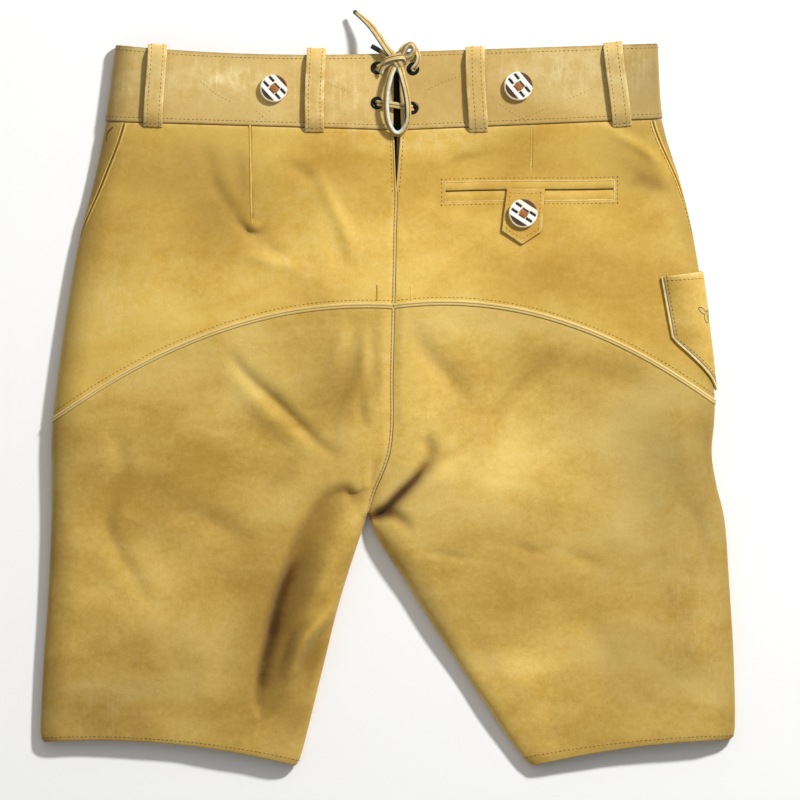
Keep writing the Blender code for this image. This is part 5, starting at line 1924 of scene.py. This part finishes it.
@dataclass
class WeltPocket:
    """The welt pocket of the right yoke, with its buttoned tab.

    The window has a left, a right, a top and a foot; the tilt is how far its right end lies
    higher than its middle. The slit is a height up the garment and the gap is its width.
    """

    left: float = 45.5
    right: float = 176.8
    top: float = 174.4
    foot: float = 159.4
    tilt: float = 1.0
    slit: float = 167.6
    gap: float = 0.8
    tab_top: Spot = (93.6, 123.2, 168.6)
    tab_shoulder: Spot = (89.7, 120.9, 135.5)
    tab_tip: float = 10.5
    tab_thick: float = 1.8
    tab_wide: float = 31.0
    tab_long: float = 44.0
    inset: float = 3.4
    button: HornButton = HornButton("pocket_button", 106.1, 149.4, -33.0, 1.0)

    def window(self) -> list[Place]:
        """Gives the corners of the window."""
        return [
            (self.left, self.foot - self.tilt), (self.right, self.foot + self.tilt),
            (self.right, self.top + self.tilt), (self.left, self.top - self.tilt),
        ]

    def make(self, shop: Shop) -> None:
        """Makes the pocket.

        Args:
            shop: The shop.
        """
        self.welts(shop)
        self.frame(shop)
        self.tab(shop)

    def line(self, y: float, out: float = 0.0, count: int = 70) -> Array:
        """Gives a line along the pocket.

        Args:
            y: Its height up the garment.
            out: How far it is longer at both ends.
            count: Number of places.

        Returns:
            The places.
        """
        x = np.linspace(self.left - out, self.right + out, count)
        middle, half = (self.left + self.right) / 2, (self.right - self.left) / 2
        bow = 0.35 * np.sin((x - self.left) / 23.0)
        return np.stack((x, y + self.tilt * (x - middle) / half + bow), -1)

    def welts(self, shop: Shop) -> None:
        """Makes the two soft welts along the slit.

        Args:
            shop: The shop.
        """
        share = np.linspace(0, 1, 22)
        for name, low, high, lip in (
            ("pocket_welt_upper", self.slit + self.gap / 2, self.top + 1.2, share),
            ("pocket_welt_lower", self.foot - 1.2, self.slit - self.gap / 2, 1.0 - share),
        ):
            plan = np.stack([self.line(y, 0.9, 90) for y in np.linspace(high, low, 22)])
            puff = -1.0 + 1.5 * np.sin(math.pi * np.clip(lip * 0.94, 0, 1)) ** 0.55
            middles, _ = shop.skin.lay(plan, puff[:, None])
            tone = paint(middles, 0.2)
            # Painted shade along each welt's lip beside the slit; the rest a little lighter.
            tone[..., 0] += 0.02 - 0.12 * bell((1.0 - lip) / 0.08)[:, None]
            obj = shell(f"soft_{name}", middles, grid_normals(middles), 1.2,
                        shop.leather("golden_leather"), tone, 0.6)
            shop.place(obj, Slot.PALE, name)

    def frame(self, shop: Shop) -> None:
        """Makes the turned edge round the window and the stitches round that.

        Args:
            shop: The shop.
        """
        top, foot = self.line(self.top + 0.3, 0.4), self.line(self.foot - 0.3, 0.4)
        plan = even_steps(np.concatenate((top, foot[::-1], top[:1])), 1.5)
        shop.strip("pocket_window_edge", *shop.skin.lay(plan, HIDE / 2 - 0.05), 1.1, 0.8,
                   tone=(0.47, 0.05, 0.15), power=2.2)
        top, foot = self.line(self.top + 2.6, 3.0), self.line(self.foot - 2.6, 3.0)
        routes = (top, foot, np.stack((top[0], foot[0])), np.stack((top[-1], foot[-1])))
        shop.stitch("pocket_stitches", [
            shop.skin.lay(even_steps(route, 1.5), HIDE / 2 + 0.03) for route in routes], seed=31)

    def tab(self, shop: Shop) -> None:
        """Makes the pointed tab with its stitches and button.

        Args:
            shop: The shop.
        """
        left, right, top = self.tab_top
        low_left, low_right, low = self.tab_shoulder
        across = even_with_edges(self.tab_wide, 1.3)
        down = even_with_edges(self.tab_long, 1.3)
        lean = np.abs(2.0 * across - 1.0)
        tip = np.minimum(self.tab_tip * (1.0 - lean), self.tab_tip - 0.5)
        y = top + (low - tip - top) * down[:, None]
        widen = np.minimum((top - y) / (top - low), 1.0)
        side = left + (low_left - left) * widen
        x = side + (right + (low_right - right) * widen - side) * across
        off = 0.5 + HIDE + LAY_GAP + 0.5 * bell((down - 0.5) / 0.3)
        curl = 0.45 * ease((down - 0.55) / 0.45)[:, None] * lean ** 2
        middles, _ = shop.skin.lay(np.stack((x, y), -1), off[:, None] + curl)
        normals = grid_normals(middles)
        tone = paint(middles, 0.35) + (-0.02, 0.10, 0.0)
        obj = shell("tab_leather", middles, normals, self.tab_thick,
                    shop.leather("golden_leather", "cut_edge"), tone, 0.7)
        shop.place(obj, Slot.SMOOTH, "pocket_tab")
        on = middles + normals * (self.tab_thick / 2 + 0.03)
        i0, i1 = (int(np.argmin(np.abs(down * self.tab_long - at)))
                  for at in (5.0, self.tab_long - self.inset - 0.4))
        j0 = int(np.argmin(np.abs(across * self.tab_wide - self.inset)))
        upright = [(on[i0:i1, j], normals[i0:i1, j]) for j in (j0, len(across) - 1 - j0)]
        level = [(on[i, j0:-j0], normals[i, j0:-j0]) for i in (i1, i0)]
        sewn = shop.stitch("tab_stitches", upright + level, 3.0, 1.5, 0.42, 33)
        shop.sheet(obj, middles, ["yoke_right", "pocket_welt_lower"], [sewn])
        ground = float(shop.skin.at(self.button.x, self.button.y)[0][2])
        self.button.make(shop, ground + 1.0 + HIDE + LAY_GAP + self.tab_thick / 2 + 0.1)


@dataclass
class KnifePocket:
    """The knife pocket, folded round the right edge.

    Back and front are its girths there. Its mouth has a height at the edge, the top, and ends
    lower by the tilt. Tip and side are the heights of its foot, and puff is how far it stands
    off the back.
    """

    back: float = 38.5
    front: float = 34.0
    top: float = 106.5
    tilt: float = 5.5
    tip: float = 10.5
    side: float = 53.5
    puff: float = 7.0
    turn_x: float = 236.0
    leaf_at: Place = (12.0, 0.42)

    def grid(self, girths: Array, downs: Any, off: float) -> Array:
        """Gives points of the pocket.

        Args:
            girths: Distances from the edge.
            downs: Shares from mouth to foot.
            off: Distance of its middle off the leather's middle.

        Returns:
            Points of the shape that the two make together.
        """
        girths, downs = np.broadcast_arrays(girths, downs)
        reach = np.where(girths > 0, self.back, self.front)
        top = self.top - self.tilt * np.abs(girths) / self.back
        foot = self.tip + (self.side - self.tip) * (np.abs(girths) / reach) ** 1.1
        row = RIGHT.row_at(top + (foot - top) * downs, girths)
        places, normals = RIGHT.skin(row, RIGHT.turn_at_girth(row, girths), 0.0, OVER_KNIFE)
        on_back = ease(girths / 10.0) * np.sin(math.pi * np.clip(girths / self.back, 0, 1))
        puff = self.puff * on_back * np.maximum(1.0 - downs, 0.0) ** 0.8
        return places + normals * (HIDE / 2 + LAY_GAP + off + puff)[..., None]

    def ups(self, line: Array, reach: float, most: float = 1.0, power: float = 1.0,
            up: float = 1.0) -> Array:
        """Gives the directions away from the leather, which lean out round the edge."""
        lean = np.clip((line[:, 0] - self.turn_x) / reach, 0.0, most) ** power
        return unit(np.stack((lean, 0 * lean, 0 * lean + up), -1))

    def make(self, shop: Shop) -> None:
        """Makes the pocket, its turned edge, its stitches and its stitched leaf.

        Args:
            shop: The shop.
        """
        whole = self.front + self.back
        girths = -self.front + even_with_edges(whole, 1.5) * whole
        downs = 0.02 + 0.98 * even_with_edges(80.0, 1.6)
        middles = self.grid(girths[None, :], downs[:, None], HIDE / 2)
        normals = grid_normals(middles)
        if normals[len(downs) // 2, int(np.argmin(np.abs(girths - 20))), 2] < 0:
            normals = -normals
        tone = paint(middles, 0.9) + (0.05, 0.0, 0.0)
        obj = shell("knife_pocket_leather", middles, normals, HIDE, shop.leather("tan_suede"),
                    tone, 0.8)
        shop.place(obj, Slot.SUEDE, "knife_pocket")
        sewn = [self.edge(shop), self.stitches(shop), self.leaf(shop)]
        shop.sheet(obj, middles, ["back_leg_right", "yoke_right", "front_right"], sewn)

    def border(self, inset: float, off: float) -> Line:
        """Gives a line along the back side and the foot, inside the border.

        Args:
            inset: Distance from the border.
            off: Distance off the leather's middle.

        Returns:
            Points and the direction up from them.
        """
        reach = self.back - inset
        side = self.grid(np.full(40, reach), np.linspace(0.03, 1 - inset / 48.0, 40), off)
        foot = self.grid(np.linspace(reach, 2.0, 50), 1 - inset / 62.0, off)
        line = even_steps(np.concatenate((side, foot[1:])), 1.2)
        return line, self.ups(line, 22.0, power=2.0, up=0.9)

    def joined(self, shop: Shop, name: str, strips: Sequence[Sequence[Any]]) -> Any:
        """Makes one piece of strips, each given as what a ribbon takes."""
        parts = [ribbon(f"{name}_{k}", *strip[:4], shop.finishes[strip[4]], *strip[5:])
                 for k, strip in enumerate(strips)]
        return shop.place(joined(name, parts), Slot.PALE)

    def edge(self, shop: Shop) -> Any:
        """Makes the pale turned edge with a cool grey line inside it."""
        return self.joined(shop, "knife_pocket_edge", (
            (*self.border(0.7, HIDE), 1.8, 1.0, "pale_edge", 2.4, 10, (0.53, 0.0, 0.5)),
            (*self.border(2.6, HIDE + 0.1), 1.0, 0.5, "cut_edge", 2.2, 8, (0.42, 0.5, 0.0)),
        ))

    def stitches(self, shop: Shop) -> Any:
        """Makes the rows along the mouth and inside the border.

        Args:
            shop: The shop.

        Returns:
            The piece.
        """
        mouth = self.grid(np.linspace(self.back - 2.0, -20.0, 60), 0.085, HIDE + 0.05)
        line = even_steps(mouth, 1.5)
        rows = [(line, self.ups(line, 20.0)), self.border(4.6, HIDE + 0.05)]
        return shop.stitch("knife_pocket_stitches", rows, 3.2, 2.1, 0.55, 41)

    def leaf(self, shop: Shop) -> Any:
        """Makes the outline of a small three-lobed leaf in grey thread.

        Args:
            shop: The shop.

        Returns:
            The piece.
        """
        turns, (girth, down) = np.linspace(0, 2 * math.pi, 60), self.leaf_at
        size = 6.2 * (0.62 + 0.38 * np.cos(3 * turns))
        along, over = size * np.cos(turns), size * np.sin(turns)
        line = self.grid(np.clip(girth - over, -30, 38), down + along / 78.0, HIDE + 0.1)
        stem = self.grid(np.array((girth, 9.0, 5.0)), np.array((down, 0.38, 0.33)), HIDE + 0.1)
        ups, thread = self.ups(line, 18.0, 2.0), (0.6, 0.4, "grey_thread", 2.0, 8)
        return self.joined(shop, "knife_pocket_leaf", (
            (line, ups, *thread), (even_steps(stem, 1.0), ups[:1], *thread)))


@dataclass
class DropFront:
    """The drop front, whose top lies under the band and buttons to it."""

    wide: float = 200.0
    tall: float = 177.0
    step: float = 3.0
    stem: float = FLAP_BUTTON_RISE + HIDE + FLAP_CLEAR - 0.3 - 4.0

    def plan(self, across: Array, down: Array) -> Array:
        """Gives places of the drop front.

        Args:
            across: Shares from -1 to 1.
            down: Shares from 0 to 1.

        Returns:
            Places, one line to a row.
        """
        across, down = np.meshgrid(across, down)
        beyond = np.maximum(np.abs(across) * FLAP_HALF_FOOT - FLAP_HALF_FOOT + FLAP_CORNER, 0.0)
        corner = FLAP_CORNER - np.sqrt(np.maximum(FLAP_CORNER ** 2 - beyond ** 2, 0.0))
        y = FLAP_TOP_Y + (FLAP_FOOT_Y + corner - FLAP_TOP_Y) * down
        share = (FLAP_TOP_Y - y) / (FLAP_TOP_Y - FLAP_FOOT_Y)
        half = FLAP_HALF_TOP + (FLAP_HALF_FOOT - FLAP_HALF_TOP) * share
        return np.stack((CENTRE_X + across * half, y), -1)

    def outline(self, across: Array, down: Array) -> Array:
        """Gives the two sides and the foot of a plan as one line."""
        plan = self.plan(across, down)
        return np.concatenate((plan[:, 0], plan[-1, 1:-1], plan[::-1, -1]))

    def window(self) -> Array:
        """Gives the outline of the window in the fronts, a little larger than the piece."""
        away = self.outline(np.linspace(-1, 1, 25), np.linspace(0, 1, 19)) - FLAP_MIDDLE
        return FLAP_MIDDLE + away * (1.0 + 0.5 / FLAP_HALF_FOOT)

    def make(self, shop: Shop) -> None:
        """Makes the drop front, its stitches and its two buttons.

        Args:
            shop: The shop.
        """
        across, down = even_with_edges(self.wide, self.step), even_with_edges(self.tall, self.step)
        plan = self.plan(across * 2 - 1, down)
        z = HIDE / 2 + button_bump(plan[..., 0], plan[..., 1])
        middles = np.concatenate((plan, z[..., None]), -1)
        tone = paint(middles, 0.6, back=0.0)
        # The inside gets painted shade where it shows through the slit.
        obj = shell("drop_front_leather", middles, grid_normals(middles, DOWN), HIDE,
                    shop.leather("tan_suede"), tone, 0.8, None, painted_slit_shade(middles, tone))
        shop.place(obj, Slot.SUEDE, "flap")
        x, y = self.outline(np.linspace(-1, 1, 80) * 0.955, np.linspace(0.02, 0.975, 90)).T
        line = even_steps(np.stack((x, y, 0.12 + button_bump(x, y)), -1), 2.0)
        sewn = shop.stitch("drop_front_stitches", [(line, DOWN)], 3.3, 2.2, 0.5, 51)
        shop.sheet(obj, middles, [], [sewn])
        for side, name in ((-1, "left"), (1, "right")):
            button = HornButton(f"flap_button_{name}", CENTRE_X + side * FLAP_BUTTON_X,
                                FLAP_BUTTON_Y, 40.0, self.stem)
            button.make(shop, 0.0, under=True)


# Runs of the lace, by solid: a point to a row, and which way its tan face looks unless up
STRANDS = {
    "lace_through": (
        (0.6, 266, 23.2), (-3.5, 264.6, 23.3), (-7.2, 263.1, 21.6, -0.7, 0, 0.7),
        (-7.8, 262.9, 17.5, -0.8, 0.7, 0), (-7.7, 261.5, 13, 0, 0.5, -0.7),
        (-7.8, 256, 11.4, *DOWN), (-7.8, 249, 11.2, *DOWN), (-7.8, 242, 11.4, *DOWN),
        (-7.9, 237, 13, 0, -0.5, -0.7), (-7.8, 235.6, 17.5, -0.8, -0.6, 0),
        (-7.2, 235.5, 21.6, -0.7, 0, 0.7), (-3.5, 235.1, 22.9), (6, 234, 23),
        (15.4, 232.4, 22.9), (19.2, 231.8, 21.6, 0.7, 0, 0.7),
        (19.8, 231.7, 17.5, 0.8, 0.4, 0), (19.9, 233, 13, 0, -0.5, -0.7),
        (20, 239, 11.4, *DOWN), (20.1, 247, 11.2, *DOWN), (20.2, 255, 11.4, *DOWN),
        (20.3, 260.6, 13, 0, 0.5, -0.7), (20.3, 262.1, 17.5, 0.4, 0.8, 0),
        (21, 262.8, 21.8, 0.3, -0.4, 0.8), (24, 267, 23.2, 0.6, -0.3, 0.7),
        (24.4, 273, 23.4, 0.8, 0, 0.6), (21.4, 278.6, 23.6, 0.4, 0.5, 0.7),
        (16, 280.2, 23.6), (11.6, 277, 23.4), (10, 274.6, 23.6),
    ),
    "lace_end_long": (
        (3, 273.6, 26.5, 0.35, 0.35, 0.9), (-1, 279, 27, 0.35, 0.35, 0.9),
        (-7, 288, 24, 0.35, 0.35, 0.9), (-14, 297, 17, 0.35, 0.35, 0.9),
        (-25, 306.5, 9.5, 0.35, 0.35, 0.9),
    ),
    "lace_loop_long": (
        (4.6, 262.6, 26, -0.5, 0.1, 0.8), (2.2, 256, 27.4, -0.7, 0.1, 0.7),
        (-0.3, 244, 27.6, -0.8, 0, 0.6), (-0.8, 232, 27.2, -0.8, 0, 0.6),
        (0.6, 221, 25, -0.75, -0.3, 0.55), (4.4, 213.6, 22.9, -0.5, -0.7, 0.5),
        (8.6, 211.6, 22.4, 0, -0.9, 0.45), (12.9, 214.4, 22.9, 0.5, -0.7, 0.5),
        (16, 222, 25, 0.75, -0.2, 0.6), (16.2, 234, 27.2, 0.75, 0, 0.65),
        (14.6, 245, 27.6, 0.72, 0.1, 0.7), (12, 256, 27.4, 0.6, 0.1, 0.8),
        (10.6, 262.4, 26, 0.3, 0.2, 0.9),
    ),
    "lace_loop_small": (
        (12, 273.8, 27, -0.6, 0.3, 0.7), (15, 279, 29.4, -0.7, 0.5, 0.5),
        (19, 281.4, 30.6, 0.2, 0.9, 0.4), (21, 277.6, 30.2, 0.9, 0.2, 0.3),
        (18.6, 272.6, 28.6, 0.5, -0.5, 0.6), (15.4, 270.4, 27.4, 0.2, -0.4, 0.8),
    ),
}
# Turns of the knot: name, width, how much painted shade darkens the inner side, and rows as above
WRAPS = (
    ("core", 8, 0, (
        (0.5, 262.5, 23.8, -0.2, -0.2, 1), (3.5, 265.5, 25.6), (8, 268.5, 26.4),
        (12.5, 272, 25.4, 0.3, 0.3, 1))),
    ("cross", 6, 0, (
        (10.4, 260.8, 24.4, 0, -0.4, 1), (9.6, 264.6, 26.8, 0.2, -0.1, 1), (7.2, 268.6, 28.2),
        (4.4, 272.4, 27, -0.1, 0.3, 1), (2.6, 275, 25.2, -0.2, 0.5, 1))),
    ("turn", 6.4, 0.6, (
        (-1.6, 266.2, 23, -1, 0.2, 0.2), (-1.2, 268.6, 26.6, -0.8, 0.5, 0.5),
        (2.6, 270.4, 29, -0.2, 0.7, 0.7), (7.6, 271.6, 29.8, 0, 0.7, 0.7),
        (12, 272, 28.4, 0.5, 0.6, 0.6), (14.4, 270, 25.6, 1, 0.2, 0.3),
        (13, 267, 23.4, 0.8, -0.3, 0.2))),
    ("fold", 5.8, 0, (
        (3.4, 268.6, 26.4), (-0.6, 266.6, 26, -0.3, 0.1, 1), (-4, 263.4, 24, -0.5, 0.2, 0.9),
        (-5.4, 260, 22.6, -0.5, 0.1, 0.8))),
    ("under", 6, 1, (
        (3, 264.4, 23, 0, -0.6, 0.8), (8, 264.4, 22.6, 0, -0.6, 0.8),
        (13.6, 266, 23, 0, -0.6, 0.8))),
)
SHORT_END = ("thong_short_end", 3.8, 0, (
    (2, 271, 23.8), (-3, 274.6, 23.4), (-7.6, 277.4, 23, -0.1, -0.3, 1),
    (-11.4, 279.6, 22.6, -0.2, -0.5, 1)))


@dataclass
class Lace:
    """The lace through the eyelets: a flat thong tied over the slit.

    It has one width and thickness where it is pulled through the eyelets, and another in its
    open loops and ends.
    """

    wide: float = 4.6
    thick: float = 1.6
    loop_wide: float = 5.4
    loop_thick: float = 3.2
    step: float = 0.8

    def path(self, rows: Sequence[Sequence[float]], fine: int) -> Line:
        """Gives a smooth line and the way that its face looks.

        Args:
            rows: Points, and directions unless up.
            fine: Places from one point to the next.

        Returns:
            Points and directions.
        """
        points = np.array([row[:3] for row in rows], float)
        ways = unit(np.array([row[3:] or UP for row in rows], float))
        at = np.linspace(0, len(rows) - 1, fine * (len(rows) - 1) + 1)
        return spline(points, at), unit(read_line(ways, np.arange(len(rows)), at))

    def strand(self, shop: Shop, node: str) -> tuple[Any, Array]:
        """Makes a free run of the lace.

        Args:
            shop: The shop.
            node: Solid that it stands for.

        Returns:
            The piece and its line.
        """
        line, ways = self.path(STRANDS[node], 40)
        run = arc(line)
        at = np.linspace(0, run[-1], int(run[-1] / self.step) + 1)
        line, ways = read_line(line, run, at), unit(read_line(ways, run, at))
        share, tight = np.linspace(0, 1, len(line)), node == "lace_through"
        wide, thick = (self.wide, self.thick) if tight else (self.loop_wide, self.loop_thick)
        tone = np.tile(PLAIN_TONE, (len(line), 1))
        # The third channel paints shade on the flesh side: none where the lace is pulled tight, on
        # the long loop only along its second strap.
        tone[:, 2] = 0.0 if tight else 0.8
        if node == "lace_loop_long":
            tone[:, 2] = ease((share - 0.56) / 0.1)
        if node == "lace_end_long":
            wide = wide * (1.0 - 0.45 * ease((share - 0.55) / 0.45))
            tip = ease((share - 0.95) / 0.04)
            tone += tip[:, None] * (-0.25, 0.9, 0.0)
        obj = ribbon(node.replace("lace", "thong"), line, ways, wide, thick,
                     shop.finishes["lace_thong"], 4.0, 20, tone)
        return shop.place(obj, Slot.THONG, node), line

    def wrap(
        self, shop: Shop, name: str, wide: float, cool: float, rows: Sequence[Sequence[float]]
    ) -> Any:
        """Makes one turn of the knot."""
        return ribbon(name, *self.path(rows, 20), wide, self.thick * 1.4,
                      shop.finishes["lace_thong"], 4.0, 20, (0.48, 0.0, cool))

    def make(self, shop: Shop) -> None:
        """Makes the lace and logs the length of its free runs.

        Args:
            shop: The shop.
        """
        through, end, loop, small = (self.strand(shop, node) for node in STRANDS)
        knot = joined("thong_knot", [self.wrap(shop, *turn) for turn in WRAPS])
        shop.place(knot, Slot.THONG, "lace_knot")
        end_pieces = [knot, small[0], self.short_end(shop)]
        for (obj, line), wide, far, pieces in (
            (through, self.wide, "knot", []), (end, self.loop_wide, "bare", end_pieces),
            (loop, self.loop_wide, "knot", []),
        ):
            path = line * MM
            length = float(arc(path)[-1])
            LOG.info("%s is %.3f m long", obj.name, length)
            tuple(path[0])
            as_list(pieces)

    def short_end(self, shop: Shop) -> Any:
        """Makes the second, short end, whose dark tip shows behind the long one.

        Args:
            shop: The shop.

        Returns:
            The piece.
        """
        obj = self.wrap(shop, *SHORT_END)
        for point, colour in zip(obj.data.vertices, obj.data.color_attributes["tone"].data):
            far = ease((-0.004 - point.co.x) / 0.003)
            colour.color = (0.5 - 0.3 * far, 0.95 * far, 0.0, 1.0)
        return shop.place(obj, Slot.THONG)


@dataclass
class Studio:
    """Floor, soft lights and the camera, which looks straight down at a centre.

    The span is the width of the view and the floor is its width, in metres. A light has a
    name, a place, a size and a power.
    """

    centre: Place = (10.14, 3.9)
    span: float = 0.624
    floor: float = 8.0
    lights: tuple[tuple[str, Spot, float, float], ...] = (
        ("key", (1.95, 2.2, 2.5), 0.35, 162.0), ("fill", (-1.6, -0.3, 1.5), 1.8, 4.0),
        ("top", (0.1, 0.9, 2.4), 2.2, 8.0),
    )
    sky: tuple[float, ...] = (1.0, 0.99, 0.97, 1.0)
    sky_strength: float = 0.24

    def camera(self) -> None:
        """Makes the camera, straight above with the waist up."""
        data = bpy.data.cameras.new("camera")
        data.type, data.ortho_scale = "ORTHO", self.span
        data.clip_start, data.clip_end = 0.01, 20.0
        camera = bpy.data.objects.new("camera", data)
        camera.location = (self.centre[0] * MM, self.centre[1] * MM, 2.0)
        bpy.context.scene.collection.objects.link(camera)
        bpy.context.scene.camera = camera

    def light(self) -> None:
        """Makes a soft key light at the upper right, a fill, a top light and the sky."""
        for name, at, size, power in self.lights:
            data = bpy.data.lights.new(name, "AREA")
            data.shape, data.size, data.energy = "SQUARE", size, power
            light = bpy.data.objects.new(name, data)
            light.location = at
            light.rotation_euler = (-Vector(at)).to_track_quat("-Z", "Y").to_euler()
            bpy.context.scene.collection.objects.link(light)
        world = bpy.data.worlds.new("studio")
        world.use_nodes = True
        sky = world.node_tree.nodes["Background"].inputs
        sky[0].default_value, sky[1].default_value = self.sky, self.sky_strength
        bpy.context.scene.world = world
        bpy.context.scene.view_settings.view_transform = "Standard"

    def ground(self, shop: Shop) -> None:
        """Makes the floor."""
        corners = np.array(((-1, -1, 0), (1, -1, 0), (1, 1, 0), (-1, 1, 0))) * self.floor / 2 / MM
        mesh_object("floor", corners - (0.0, 0.0, 0.3), [(0, 1, 2, 3)],
                             [shop.finishes["pale_floor"]])


def main() -> None:
    """Builds the garment and the studio."""
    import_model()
    studio = Studio()
    studio.camera()
    shop = Shop.open()
    for kind in (Lace, Panels, Eyelets, BandButtons, BeltLoops, ArchWelts, Ridges, WeltPocket,
                 KnifePocket, DropFront):
        kind().make(shop)
    studio.ground(shop)
    studio.light()
    LOG.info("%d pieces", shop.count)


if __name__ == "__main__":
    logging.basicConfig(level=logging.INFO, format="%(message)s")
    main()
